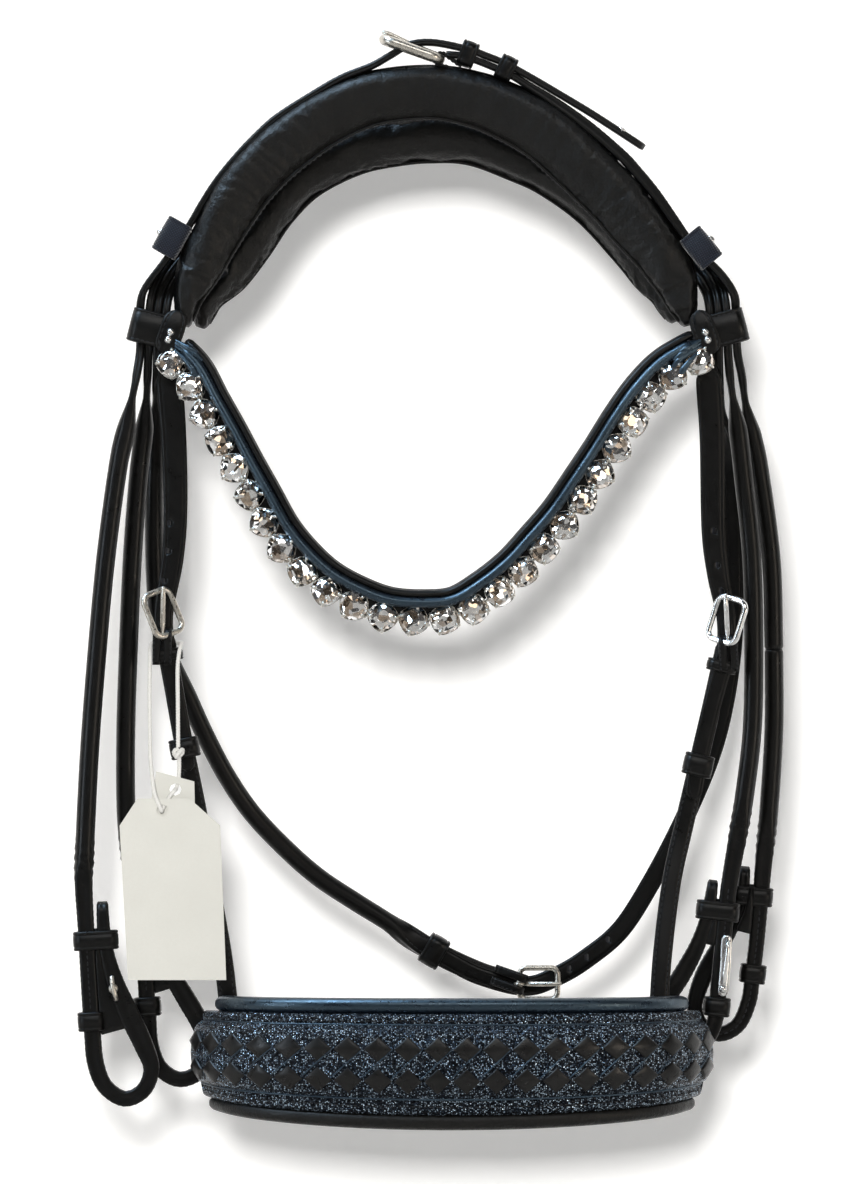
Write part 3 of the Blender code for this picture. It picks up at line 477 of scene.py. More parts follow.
def strap(name, rows, material=LEATHER, step=1.6, layers=True, stitches=(), tips=(False, False),
          pucker=None, holes=()):
    """A strap through rows of x, y, z, width, thickness and turn.

    Turn 0 sets the width along Y, and 90 sets it across the front. A section nearly as thick as it
    is wide is rolled leather. stitches are (point of the section, from, to), with shares of the
    length. A tip is rounded. pucker is (height, half length), where rolled leather turns flat.
    """
    rows = np.array(rows, float)
    rolled = (rows[:, 4] > 0.88 * rows[:, 3]) & (rows[:, 3] < 10.1)
    rows = smooth(np.column_stack([rows, np.where(rolled, 0.0, 1.0)]), step)
    path, way = rows[:, :3], ways(rows)
    turn = np.radians(rows[:, 5])[:, None]
    wide = np.cos(turn) * BACK + np.sin(turn) * np.cross(way, BACK)
    along = lengths_along(path)
    sections = []
    for here, (w, t, flat) in zip(along, rows[:, [3, 4, 6]], strict=True):
        shape = strap_section(w, t, flat, layers)
        for is_tip, gap in ((tips[0], here), (tips[1], along[-1] - here)):
            reach = 0.46 * w
            if is_tip and gap < reach:
                shape = shape * (max(0.22, math.sqrt(1 - (1 - gap / reach) ** 2)),
                                 1 if gap > 0.8 else 0.8)
            elif gap < 0.4:
                shape = shape * 0.88
        sections.append(shape)
    rings = swept(path, wide, sections)
    if pucker:
        height, half = pucker
        centre = path[:, None, :]
        out = rings - centre
        near = np.clip(1 - np.abs(path[:, 2] - height) / half, 0, 1) ** 0.7
        angle = 2 * math.pi * np.arange(SECTION_POINTS) / SECTION_POINTS
        round_it = 2.2 * np.sin(angle)[None, :]
        finer = 0.6 * np.sin(3 * angle)[None, :]
        folds = np.sin(path[:, 2][:, None] * 1.25 + round_it + finer)
        lump = 1 + near[:, None] * (0.075 * folds + 0.05)
        rings = centre + out * lump[..., None]
    build = Build()
    build.add(*skin(rings))
    for point, start, end in stitches:
        keep = (along >= start * along[-1]) & (along <= end * along[-1])
        outward = unit(rings[:, point] - path)
        spindles(build, (rings[:, point] + 0.12 * outward)[keep])
    made = build.piece(name, material, THREAD)
    for x, y, z, wide_way in holes:
        cut_hole(made, (x, y, z), wide_way)
    if holes:
        settle(made)
    return made


def rounded(half_a, half_b, corner, per_corner=7):
    points = []
    for quarter, (sa, sb) in enumerate([(1, 1), (-1, 1), (-1, -1), (1, -1)]):
        for angle in math.pi / 2 * (quarter + np.linspace(0, 1, per_corner)):
            points.append((sa * (half_a - corner) + corner * math.cos(angle),
                           sb * (half_b - corner) + corner * math.sin(angle)))
    return np.array(points)


def basis(way, wide):
    way = unit(way)
    wide = np.asarray(wide, float)
    wide = unit(wide - wide.dot(way) * way)
    return way, wide, np.cross(way, wide)


def cut_hole(target, centre, way, half_long=1.6, half_wide=0.8):
    """Cuts an oval hole with its length down the strap."""
    way, wide, thick = basis(way, UP)
    outline = rounded(half_long, half_wide, half_wide * 0.98)
    rings = np.array([[np.array(centre) + a * wide + b * thick + h * way for a, b in outline]
                      for h in (-6, 6)])
    cutter = mesh_piece(target.name + "_cutter", *skin(rings), THREAD)
    cut = target.modifiers.new("hole", "BOOLEAN")
    cut.operation = "DIFFERENCE"
    cut.solver = "EXACT"
    cut.object = cutter


def settle(made):
    """Applies the modifiers and removes their cutters."""
    graph = bpy.context.evaluated_depsgraph_get()
    mesh = bpy.data.meshes.new_from_object(made.evaluated_get(graph))
    cutters = [m.object for m in made.modifiers if m.type == "BOOLEAN"]
    made.modifiers.clear()
    made.data = mesh
    for cutter in cutters:
        bpy.data.objects.remove(cutter, do_unlink=True)
    return made


def keeper(name, centre, way, wide, half_a, half_b, tall, wall=1.7, material=LEATHER,
           stitched=False):
    """A loop of leather with rounded rims, two pressed lines and a lapped join at the back."""
    way, wide, thick = basis(way, wide)
    outline = rounded(half_a, half_b, min(half_a, half_b) * 0.45, 9)
    ahead, behind = np.roll(outline, -1, 0), np.roll(outline, 1, 0)
    run = unit(ahead - behind)
    out = np.stack([run[:, 1], -run[:, 0]], axis=1)
    h, line = tall / 2, tall / 2 - min(1.7, tall * 0.2)
    profile = [(-h, 0.25), (-h, wall * 0.55), (-h + 0.35, wall), (-line - 0.4, wall + 0.05),
               (-line, wall - 0.3), (-line + 0.4, wall + 0.05), (0, wall + 0.14),
               (line - 0.4, wall + 0.05), (line, wall - 0.3), (line + 0.4, wall + 0.05),
               (h - 0.35, wall), (h, wall * 0.55), (h, 0.25), (h - 0.3, 0), (-h + 0.3, 0)]
    rings = []
    for spot, side in zip(outline, out, strict=True):
        back = spot[0] * wide[1] + spot[1] * thick[1]
        extra = 1.35 if back > 0.75 * max(half_a, half_b) else 1.0
        ring = []
        for u, d in profile:
            across, up = spot[0] + side[0] * d * extra, spot[1] + side[1] * d * extra
            ring.append(centre + across * wide + up * thick + u * way)
        rings.append(ring)
    rings = np.array(rings)
    build = Build()
    build.add(*skin(rings, closed_path=True))
    if stitched:
        for k in (4, 8):
            spindles(build, np.vstack([rings[:, k], rings[:1, k]]), pitch=2.6, long=1.9, fat=0.3)
    return build.piece(name, material, THREAD)


def rod_rings(path, radii, closed_path=False, sides=14):
    """Rings of a round rod. The side vector turns as little as it can along the path."""
    path = np.asarray(path, float)
    way = unit(np.roll(path, -1, 0) - np.roll(path, 1, 0)) if closed_path else ways(path)
    side = np.cross(way[0], (0.2, 0.3, 0.93))
    turns = 2 * math.pi * np.arange(sides) / sides
    rings = []
    for here, w, r in zip(path, way, np.broadcast_to(radii, len(path)), strict=True):
        side = unit(side - side.dot(w) * w)
        other = np.cross(w, side)
        rings.append([here + r * math.cos(a) * side + r * math.sin(a) * other for a in turns])
    return np.array(rings)


def rod(build, path, radii, closed_path=False, sides=14):
    build.add(*skin(rod_rings(path, radii, closed_path, sides), closed_path))


def buckle(name, centre, way, wide, half_a, half_b, corner, thick, material=SATIN):
    """A buckle frame: a steel rod bent round a rectangle with rounded corners."""
    way, wide, high = basis(way, wide)
    outline = rounded(half_a, half_b, corner, 9)
    path = np.array([np.asarray(centre) + a * wide + b * high for a, b in outline])
    fine = []
    for here, nxt in zip(path, np.roll(path, -1, 0)):
        parts = max(1, int(np.linalg.norm(nxt - here) / 1.5))
        fine += [here + (nxt - here) * i / parts for i in range(parts)]
    build = Build()
    rod(build, fine, thick / 2, closed_path=True)
    return build.piece(name, material)


def tongue(name, points, diameters, bar, bar_way, material=SATIN):
    """A buckle tongue: a pin that curls round the bar at its foot."""
    shaft = smooth(np.column_stack([points, diameters]), 0.9)
    radius = 2.1
    ahead = unit(shaft[1, :3] - shaft[0, :3])
    up = np.cross(unit(bar_way), ahead)
    turns = np.radians(np.arange(-265, 1, 20))
    curl = [np.asarray(bar) + radius * (math.cos(a) * up + math.sin(a) * ahead) for a in turns]
    path = np.vstack([curl, shaft[2:, :3]])
    sizes = np.concatenate([np.full(len(curl), 0.9), shaft[2:, 3] / 2])
    build = Build()
    rod(build, path, sizes)
    return build.piece(name, material)


def dome(build, centre, way, radius, high, rings=5, sides=16):
    """A domed rivet head on a thin collar."""
    way, wide, thick = basis(way, (0.3, 0.2, 0.9))
    profile = [(radius * 1.12, -0.2), (radius * 1.12, 0.25), (radius * 0.98, 0.35)]
    profile += [(radius * 0.96 * math.cos(a), 0.35 + high * math.sin(a))
                for a in np.linspace(0.15, 1.45, rings)]
    turns = 2 * math.pi * np.arange(sides) / sides
    circle = [math.cos(a) * wide + math.sin(a) * thick for a in turns]
    middle = np.asarray(centre)
    points = np.array([[middle + r * spot + h * way for spot in circle] for r, h in profile])
    build.add(*skin(points))


def place(made, body, slot, *nodes, bend=None):
    """Attaches a piece to its body and hides the solids it stands for. A piece given a bend is only
    baked in place and joins no body. The slot is not used.
    """
    if bend:
        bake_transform(made)
    else:
        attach(made, body)
    if nodes:
        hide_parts(*nodes)
    return made


make_camera()
make_stage()

# ---- crown -------------------------------------------------------------------

BLADE = 3.0
STACKED = 4.1  # straps that lie against each other look a little thicker than they are
LOOP_MIDDLE = -85.0  # the height at which straps are cut, hidden inside the browband loops
ARCH = [
    (-126.4, -84), (-124.6, -71), (-118.6, -55.5), (-111.4, -41.2), (-102, -24.2), (-91.5, -10),
    (-75.5, 5.5), (-54, 20), (-31, 29.3), (-3, 32), (17, 28.7), (33.8, 22.4), (52, 12.5),
    (68.9, -2.1), (87.1, -20), (98.3, -33.4), (109, -46.7), (116.4, -58.5), (121, -70),
    (125, -83.5),
]
ARCH_WIDE = [
    8.5, 13, 21, 23.5, 26, 26.4, 27, 26.4, 26, 26, 26.6, 27.4, 28.4, 29, 28.6, 27.6, 25, 22, 16.5,
    9,
]
REAR = [
    (-119.4, -84), (-114.4, -69.9), (-102.3, -58.7), (-91.6, -43.3), (-79.9, -25.9), (-65.4, -10.7),
    (-45.8, 1.2), (-27.7, 7.6), (-3, 10.4), (17.6, 7.2), (38.6, -2), (54.6, -10), (75.5, -25.7),
    (96.1, -47.3), (104.6, -58.5), (113.4, -67.5), (119.4, -81),
]
REAR_WIDE = [7.5, 10, 12, 14, 14.3, 15.3, 17.8, 20.4, 20.8, 17, 14, 13, 12, 13, 12, 11, 8]
STACK = [
    (-136.2, 0, LOOP_MIDDLE), (-135.6, 0.5, -74), (-133, 7, -64.5), (-125.5, 16, -53),
    (-109, 21.5, -38), (-92, 22, -22), (-73, 22, -2), (-52, 22, 13.5), (-28, 22, 21.5),
    (-3, 22, 23.5), (20, 22, 20.5), (42, 22, 11), (66, 22, -6), (86, 22, -23), (106, 21.5, -40),
    (126.5, 16.5, -55.5), (133.4, 7.6, -65.5), (135.6, 0.5, -74), (136.2, 0, LOOP_MIDDLE),
]
ROLL_SIDES = 48
ROLL_STEP = 1.1


def plump(made, pinned, pressure=4.0, frames=18, most=2.2):
    """Fills a closed mesh with air as a cloth. No point moves further than most millimetres."""
    group = made.vertex_groups.new(name="pinned")
    group.add(pinned, 1.0, "ADD")
    before = np.array([v.co for v in made.data.vertices])
    cloth = made.modifiers.new("cloth", "CLOTH")
    rules = cloth.settings
    rules.quality = 4
    rules.mass = 0.25
    rules.tension_stiffness = rules.compression_stiffness = 12
    rules.bending_stiffness = 0.2
    rules.shrink_min = -0.035
    rules.use_pressure = True
    rules.uniform_pressure_force = pressure
    rules.vertex_group_mass = "pinned"
    rules.effector_weights.gravity = 0
    cloth.point_cache.frame_end = frames
    for frame_number in range(1, frames + 1):
        bpy.context.scene.frame_set(frame_number)
    graph = bpy.context.evaluated_depsgraph_get()
    after = np.array([v.co for v in made.evaluated_get(graph).data.vertices])
    made.modifiers.clear()
    made.vertex_groups.clear()
    bpy.context.scene.frame_set(1)
    move = after - before
    far = np.linalg.norm(move, axis=1, keepdims=True)
    move *= np.minimum(1, most * MM / np.maximum(far, 1e-9))
    made.data.vertices.foreach_set("co", (before + move).astype(np.float32).ravel())
    made.data.update()


def wrinkle(made, count, depth, where, seed):
    """Presses fine creases across a roll. where(share along, x) says how strong they are."""
    coords = np.array([v.co for v in made.data.vertices])
    normals = np.array([v.normal for v in made.data.vertices])
    rings = len(coords) // count
    for r in range(rings):
        for k in range(count):
            i = r * count + k
            strength = where(r / rings, coords[i][0] / MM, k / count)
            if strength < 0.02:
                continue
            along = r * ROLL_STEP
            bend = 7 * noise.noise((along / 26, k / 9, seed))
            fold = noise.noise(((along + bend) / 4.6, k / 11, seed + 3.1))
            small = noise.noise(((along + bend) / 2.4, k / 4.5, seed + 8.7))
            dent = max(0.0, 0.55 - abs(fold) * 2.6) + 0.35 * max(0.0, 0.4 - abs(small) * 2)
            coords[i] -= normals[i] * dent * depth * MM * strength
    made.data.vertices.foreach_set("co", coords.astype(np.float32).ravel())
    made.data.update()


def bell(x, centre, half):
    return math.exp(-(((x - centre) / half) ** 2))


def arch_roll(name, line, widths, y, deep, seams):
    """A padded roll of the crown. Its seams hold it in where they run."""
    rows = smooth([(x, y, z, w) for (x, z), w in zip(line, widths, strict=True)], ROLL_STEP)
    turns = 2 * math.pi * np.arange(ROLL_SIDES) / ROLL_SIDES
    cos, sin = np.cos(turns), np.sin(turns)
    square = 0.84
    shape = np.stack([np.sign(cos) * np.abs(cos) ** square, np.sign(sin) * np.abs(sin) ** square],
                     axis=1)
    for seam in seams:
        gap = np.abs((np.arange(ROLL_SIDES) - seam + ROLL_SIDES / 2) % ROLL_SIDES - ROLL_SIDES / 2)
        shape *= 1 - 0.05 * np.exp(-((gap / 1.3) ** 2))[:, None]
    along = lengths_along(rows)
    end = np.minimum(along, along[-1] - along)
    taper = 0.45 + 0.55 * np.sqrt(np.clip(end / 9, 0, 1))
    halves = np.stack([deep * (0.6 + 0.4 * np.minimum(1, rows[:, 3] / 20)) / 2 * taper,
                       rows[:, 3] / 2 * taper], axis=1)
    rings = swept(rows, BACK, shape[None] * halves[:, None, :] * 1.03)
    made = mesh_piece(name, *skin(rings), SOFT)
    count = ROLL_SIDES
    pinned = [r * count + k for r in range(len(rings)) for k in range(count)
              if k in seams or r < 2 or r > len(rings) - 3]
    plump(made, pinned)
    return made, rings


def crown():
    outer, inner = 14, 33
    front, rings = arch_roll("crown_front_roll", ARCH, ARCH_WIDE, -1.5, 25, (outer, inner))
    middle = ROLL_SIDES / 2

    def front_creases(share, x, k):
        facing = bell(k * ROLL_SIDES, middle + 3, 9)
        amount = bell(x, -82, 30) + 0.25 * bell(x, -8, 40) + 0.4 * bell(x, 75, 34) + 0.1
        return facing * min(1, amount)

    wrinkle(front, ROLL_SIDES, 1.9, front_creases, 1.7)
    place(front, "headpiece", "padding_leather", "crown_pad_front")
    wider = [w + 2.2 for w in REAR_WIDE]
    rear, rear_rings = arch_roll("crown_rear_roll", REAR, wider, 22.2, 21.5, (12, 36))
    wrinkle(rear, ROLL_SIDES, 0.9, lambda share, x, k: 0.3 + 0.7 * bell(x, -50, 40), 5.2)
    place(rear, "headpiece", "padding_leather", "crown_pad_rear")
    build = Build()
    for line, fat in ((rings[3:-3, outer], 1.0), (rings[3:-3, inner], 0.8),
                      (rear_rings[3:-3, 12], 0.8), (rear_rings[3:-3, 36], 0.8)):
        rod(build, line, fat, sides=10)
    for k in (outer - 1, inner + 1):
        line = rings[4:-4, k]
        spindles(build, line + 0.15 * unit(line - rings[4:-4].mean(1)), pitch=3.2)
    place(build.piece("crown_piping", LEATHER, THREAD), "headpiece", "padding_leather")
    line = smooth(STACK, 4)
    out = unit(np.cross(ways(line), BACK))
    both = ((6, 0.02, 0.98), (12, 0.02, 0.98))
    for layer, (name, solid) in enumerate((("noseband_strap_over_crown", None),
                                           ("throat_strap_over_crown", "throat_headpiece"),
                                           ("crown_strap_over_crown", None))):
        rows = [(*p, 11, STACKED, 0) for p in line + out * 4.2 * layer]
        made = strap(name, rows, stitches=both if layer == 2 else both[:1], step=2.2)
        place(made, "headpiece", "black_leather", *([solid] if solid else []))


# ---- sliphead ------------------------------------------------------------------

SLIP_LEFT = [
    (-19, 49), (-33, 46.4), (-48, 40.4), (-64, 31.2), (-81, 20.2), (-92, 10.2), (-101, 0.6),
    (-110.4, -11), (-117.8, -22.4), (-123, -31.4), (-129.6, -41.8), (-137, -52), (-146.5, -65),
]
SLIP_RIGHT = [
    (4, 52.2), (15, 50.6), (34, 43), (46, 36), (60, 27), (76, 15.2), (92, 1.4), (98.5, -5.6),
    (108.2, -17.2), (118.4, -31.6), (126.2, -42.4), (133, -49.5), (141.5, -58), (147.5, -67),
]
SLIP_RIGHT_THICK = [3.4, 3.4, 3.4, 4, 5, 5.6, 5.6, 5.6, 5.4, 5, 4.2, 4.1, 4.1, 4.1]
TAIL = [
    (103, 5.5), (90, 14), (76, 23), (60, 32.6), (46, 40.8), (34, 47.3), (24, 51.4), (15, 54.6),
    (-2, 58), (-14, 57), (-24, 51.5),
]
POLL_KEEPERS = (("poll_keeper_one", "poll_keeper_fixed", "headpiece", 15.0, 52.4, (20, -7.6)),
                ("poll_keeper_two", "poll_keeper_sliding", "poll_keeper", 34.0, 45.2, (20, -9.6)))
SLIP_TABS = (("tab_left", "sliphead_tab_left", -131.5, -40.4, (-12.5, 0, -22)),
             ("tab_right", "sliphead_tab_right", 130.1, -45.6, (6.2, 0, -7.5)))
POLL_RING = np.array((-13.0, -3.5, 54.6))
POLL_ALONG = np.array((0.944, 0, -0.330))
POLL_LIFT = np.array((0.330, 0, 0.944))


def slip_rows(line):
    return [(x, -3.5, z, 12, 3.4, 0) for x, z in line]


def fold_lobes(name, bar, down, across, behind, reach=13.0, apart=3.1, width=3.7, thick=1.7,
               body="headpiece", front=3.0):
    """Two lobes of leather that fold round a buckle's bar, one on each side of its tongue."""
    build = Build()
    bar, down, across, behind = (np.asarray(v, float) for v in (bar, down, across, behind))
    for side in (-1, 1):
        spots = [behind * 2.2 + down * reach, behind * 2.6 + down * 4, behind * 2.7, -down * 2.7,
                 -behind * front, -behind * front * 0.85 + down * 4,
                 -behind * front * 0.1 + down * reach * 0.9]
        path = smooth([bar + across * apart * side + spot for spot in spots], 0.8)
        turns = 2 * math.pi * np.arange(14) / 14
        half = np.array([(width / 2 * math.cos(a), thick / 2 * math.sin(a)) for a in turns])
        half = np.sign(half) * np.abs(half / (width / 2, thick / 2)) ** 0.7 * (width / 2, thick / 2)
        build.add(*skin(swept(path, across, half)))
        edge = path + across * 1.2 * side
        normal = unit(np.cross(ways(path), across))
        for face in (-1, 1):
            spindles(build, edge + face * normal * thick * 0.5, pitch=2.4, long=1.7, fat=0.26)
    return place(build.piece(name, LEATHER, THREAD), body, "black_leather")


def sliphead():
    left = [(-148.8, -1, -74, 11, STACKED, 0), (-148.8, 0, LOOP_MIDDLE, 11, STACKED, 0)]
    right = [(148.8, -1, -74, 11, STACKED, 0), (149, 0, LOOP_MIDDLE, 11, STACKED, 0)]
    made = strap("sliphead_point", slip_rows(TAIL) + slip_rows(SLIP_LEFT[1:]) + left,
                 tips=(True, False), stitches=((24, 0.0, 0.96), (30, 0.0, 0.96)))
    place(made, "headpiece", "black_leather")
    pairs = zip(slip_rows(SLIP_RIGHT), SLIP_RIGHT_THICK, strict=True)
    doubled = [(*row[:4], thick, 0) for row, thick in pairs]
    made = strap("sliphead_buckle_side", doubled + right,
                 stitches=((6, 0.02, 0.9), (12, 0.02, 0.9), (24, 0.02, 0.3)))
    place(made, "headpiece", "black_leather")
    ring = POLL_RING
    place(buckle("poll_buckle_frame", ring, np.cross(POLL_ALONG, BACK), POLL_ALONG, 14.8, 10.2, 5.6,
                 5.0), "headpiece", "steel", "poll_buckle")
    shaft = [ring + POLL_ALONG * 11.6 + POLL_LIFT * 1.8, ring - POLL_ALONG + POLL_LIFT * 2.4,
             ring - POLL_ALONG * 13 + POLL_LIFT * 3.6, ring - POLL_ALONG * 17 + POLL_LIFT * 3.4]
    place(tongue("poll_buckle_tongue", shaft, (2.4, 2.4, 2.4, 1.8), ring + POLL_ALONG * 13.6, BACK),
          "headpiece", "steel", "poll_tongue")
    fold_lobes("poll_lobes", ring + POLL_ALONG * 14.4, POLL_ALONG, BACK, -POLL_LIFT)
    for name, solid, body, x, z, slope in POLL_KEEPERS:
        made = keeper(name, (x, -3.5, z), (slope[0], 0, slope[1]), BACK, 6.5, 4.6, 8.5)
        place(made, body, "black_leather", solid)
    build = Build()
    rod(build, [(90.2, -9.6, 15.9), (92.0, -9.9, 14.7), (93.8, -9.6, 13.4)], (0.5, 0.8, 0.5),
        sides=8)
    rod(build, [(91.2, -8.6, 13.9), (92.2, -9.8, 14.2)], 0.5, sides=8)
    place(build.piece("tail_mark", CHROME), "headpiece", "steel")
    for name, solid, x, z, way in SLIP_TABS:
        side = math.copysign(1, x)
        way = unit(way)
        out = side * np.cross(way, BACK) * math.copysign(1, np.cross(way, BACK)[0])
        centre = np.array((x, -3.5, z)) + out * 1.6
        made = keeper(name, centre, way, BACK, 6.7, 5.3, 18.5, wall=1.3, material=TEXTILE)
        place(made, "headpiece", "navy_textile", solid)
        build = Build()
        dome(build, centre + out * 6.7, out, 2.5, 1.7)
        place(build.piece(name + "_rivet", CHROME), "headpiece", "steel")


# ---- browband ------------------------------------------------------------------

BROW_LINE = [
    (-130.5, -10.5, -96), (-121, -13.5, -106), (-113, -16, -121), (-104, -18, -137),
    (-96, -19.5, -152), (-87, -21, -168), (-77.5, -22, -185), (-67, -23, -198), (-55, -24, -209),
    (-41, -24.5, -217), (-25, -25, -223), (-8, -25, -224.5), (8, -25, -223), (22, -24.5, -215),
    (36, -24, -204), (48, -23, -191), (60, -22, -177), (71, -21, -161), (81, -19.5, -146),
    (91, -18, -130), (101, -16, -116), (112, -13.5, -104.5), (124, -11, -97), (130.5, -10.5, -94),
]
CRYSTALS = 26
CRYSTAL_RADIUS = 7.3
STONE_SIDES = 12


def brow_offset(shift, back, step=2.2):
    """The browband's line moved upwards and inwards in the view, and back along Y."""
    line = smooth(BROW_LINE, step)
    up = unit(np.cross(BACK, ways(line)))
    moved = line - up * shift
    moved[:, 1] += back
    return moved


def cushion(turn):
    """How far the edge of a square stone with rounded corners lies from its middle."""
    return 1 + 0.045 * math.cos(4 * (turn - math.pi / 4))


def gem(build, centre, axes, radius):
    """A cut crystal: table, two rings of crown facets, girdle and a pointed back."""
    wide, high, front = axes
    levels = ((0.42, 3.6, 0.5), (0.76, 2.6, 0.0), (1.0, 0.8, 0.5), (1.0, 0.2, 0.5),
              (0.66, -2.0, 0.0), (0.1, -4.2, 0.5))
    points, faces = [], [tuple(range(STONE_SIDES))[::-1]]
    for share, lift, half_step in levels:
        for a in 2 * math.pi * (np.arange(STONE_SIDES) + half_step) / STONE_SIDES:
            out = math.cos(a) * wide + math.sin(a) * high
            points.append(centre + share * cushion(a) * radius * out + lift * front)
    for r, (above, below) in enumerate(zip(levels, levels[1:])):
        for k in range(STONE_SIDES):
            n = (k + 1) % STONE_SIDES
            upper, lower = r * STONE_SIDES, (r + 1) * STONE_SIDES
            a, b, c, d = upper + k, upper + n, lower + n, lower + k
            faces += [(a, b, c), (a, c, d)] if above[2] >= below[2] else [(a, b, d), (b, c, d)]
    faces.append(tuple(5 * STONE_SIDES + k for k in range(STONE_SIDES)))
    build.add(points, faces)


def cup(build, centre, axes, radius):
    """A metal cup with four claws that fold over the crystal's edge."""
    wide, high, front = axes
    turns = 2 * math.pi * np.arange(24) / 24
    profile = [(0.35, -4.9), (0.9, -4.4), (1.03, -1.2), (1.04, 0.3), (1.01, 0.3), (0.97, -1.2),
               (0.84, -3.9), (0.3, -4.6)]
    shape = [cushion(a) * radius * (math.cos(a) * wide + math.sin(a) * high) for a in turns]
    rings = np.array([[centre + s * spot + h * front for spot in shape] for s, h in profile])
    build.add(*skin(rings))
    for a in np.radians((45, 135, 225, 315)):
        out = math.cos(a) * wide + math.sin(a) * high
        path = [centre + out * radius * 1.04 - front * 1.8,
                centre + out * radius * 1.06 + front * 0.6,
                centre + out * radius * 0.97 + front * 1.9,
                centre + out * radius * 0.8 + front * 2.9]
        rod(build, smooth(path, 0.6), 0.85, sides=8)


def browband():
    bend = ("browband", -90, -112)
    for name, shift, back, wide, deep, material, slot, solid in (
        ("browband_navy_roll", 2.7, -1.6, 5.4, 6.6, NAVY, "navy_roll", "browband_roll"),
        ("browband_edge_roll", 6.9, -0.4, 4.2, 5.4, LEATHER, "black_leather", None),
    ):
        line = brow_offset(shift, back)
        across = np.cross(ways(line), BACK)
        turns = 2 * math.pi * np.arange(20) / 20
        along = lengths_along(line)
        end = np.clip(np.minimum(along, along[-1] - along) / 6, 0.25, 1) ** 0.5
        sections = [[(wide / 2 * e * math.cos(a), deep / 2 * e * math.sin(a)) for a in turns]
                    for e in end]
        build = Build()
        rings = swept(line, across, sections)
        build.add(*skin(rings))
        if solid is None:
            spindles(build, brow_offset(4.8, -2.35), pitch=3.0, long=2.2)
        made = build.piece(name, material, THREAD)
        place(made, "headpiece", slot, *([solid] if solid else []), bend=bend)
    line = brow_offset(2.2, 5.6)
    rows = [(*p, 14.5, 3.2, 90) for p in line]
    made = strap("browband_lining", rows, stitches=((24, 0, 1), (30, 0, 1), (6, 0, 1), (12, 0, 1)),
                 step=2.2)
    place(made, "headpiece", "black_leather", "browband_backing", bend=bend)
    line = brow_offset(-6.2, 0.2, 0.5)
    along = lengths_along(line)
    spots = np.linspace(3.0, along[-1] - 3.0, CRYSTALS)
    random = np.random.default_rng(11)
    gems, cups = Build(), Build()
    centres = []
    for at in spots:
        centre = np.array([np.interp(at, along, column) for column in line.T])
        front = unit(np.array((0, -1, 0)) + 0.11 * random.normal(size=3))
        wide = unit(np.cross(front, unit(random.normal(size=3) * (1, 0, 1))))
        axes = (wide, np.cross(front, wide), front)
        centre = centre + (0, -0.5, 0)
        gem(gems, centre, axes, CRYSTAL_RADIUS)
        cup(cups, centre, axes, CRYSTAL_RADIUS)
        centres.append(centre)
    for a, b in zip(centres, centres[1:]):
        rod(cups, [a + (0, 3.6, 0), (a + b) / 2 + (0, 3.4, 0), b + (0, 3.6, 0)], 0.7, sides=8)
    place(gems.piece("crystals", CRYSTAL, flat=True), "browband", "crystal", "crystal_chain")
    place(cups.piece("crystal_cups", CUP_STEEL), "browband", "steel")
    for side, name in ((-1, "left"), (1, "right")):
        made = keeper(f"browband_end_{name}", (side * 142.6, 0, -85), (side * 0.26, 0, -1), BACK,
                      6.9, 9.6, 17, wall=2.0, stitched=True)
        place(made, "headpiece", "black_leather", f"browband_loop_{name}")
        rows = [(side * 129.5, -10.8, -76, 10, 2.2, 90), (side * 132.5, -12.3, -85, 12.5, 2.2, 90),
                (side * 137, -11.3, -97.5, 12, 2.2, 90)]
        made = strap(f"browband_tab_{name}", rows, tips=(True, True), layers=False, step=0.8,
                     stitches=((6, 0.05, 0.95), (12, 0.05, 0.95), (24, 0.05, 0.95),
                               (30, 0.05, 0.95)))
        place(made, "headpiece", "black_leather")
        build = Build()
        for x, z in ((133.4, -86.8), (134.6, -90.6)):
            dome(build, (side * x, -13.2, z), -BACK, 1.7, 1.1)
        place(build.piece(f"browband_stud_{name}", CHROME), "headpiece", "steel")
        build = Build()
        for k, (x, z) in enumerate(((-120, -97), (-117.5, -101), (-116, -106), (-119, -110.5))):
            path = smooth([(side * 131.5, -12.4, -90.5 - k * 1.6),
                           (side * (abs(x) + 5), -14.6 - 0.2 * k, (z - 92) / 2 - k * 0.6),
                           (side * abs(x), -15.6, z)], 1.0)
            rod(build, path, np.interp(np.linspace(0, 1, len(path)), (0, 0.7, 1), (0.7, 1.9, 0.9)),
                sides=12)
        place(build.piece(f"browband_folds_{name}", NAVY), "browband", "navy_roll")


# ---- bit straps ------------------------------------------------------------------

CURB_LEFT = [
    (-144.6, 0, LOOP_MIDDLE, 11, STACKED, 0), (-144.8, 1.2, -96, 11, STACKED, 0),
    (-145.3, 4, -108, 11, STACKED, 0), (-145.8, 6.5, -119, 10.5, 3.4, 0),
    (-147.2, 6.5, -136, 10, 9.6, 0), (-150, 6.5, -160, 9.8, 9.6, 0), (-153, 6.5, -200, 9.8, 9.6, 0),
]
CURB_RIGHT = [
    (144.6, 0, LOOP_MIDDLE, 11, STACKED, 0), (145, 1, -96, 11, STACKED, 0),
    (146, 3, -108, 11, STACKED, 0), (147.5, 4.5, -119, 10.5, 3.4, 0),
    (150.2, 4.5, -136, 10, 9.6, 0), (153, 4.5, -160, 9.8, 9.6, 0), (157, 4.5, -200, 9.8, 9.6, 0),
]
BRADOON_LEFT_TOP = [
    (-148.8, 0, LOOP_MIDDLE, 11, STACKED, 0), (-149, -1, -97, 11, STACKED, 0),
    (-150.6, -4.5, -108, 11, STACKED, 0), (-152.6, -7, -119, 10.5, 3.4, 0),
    (-156, -7, -136, 10, 9.6, 0), (-160, -7, -155, 9.8, 9.6, 0), (-166, -7, -200, 9.8, 9.6, 0),
]
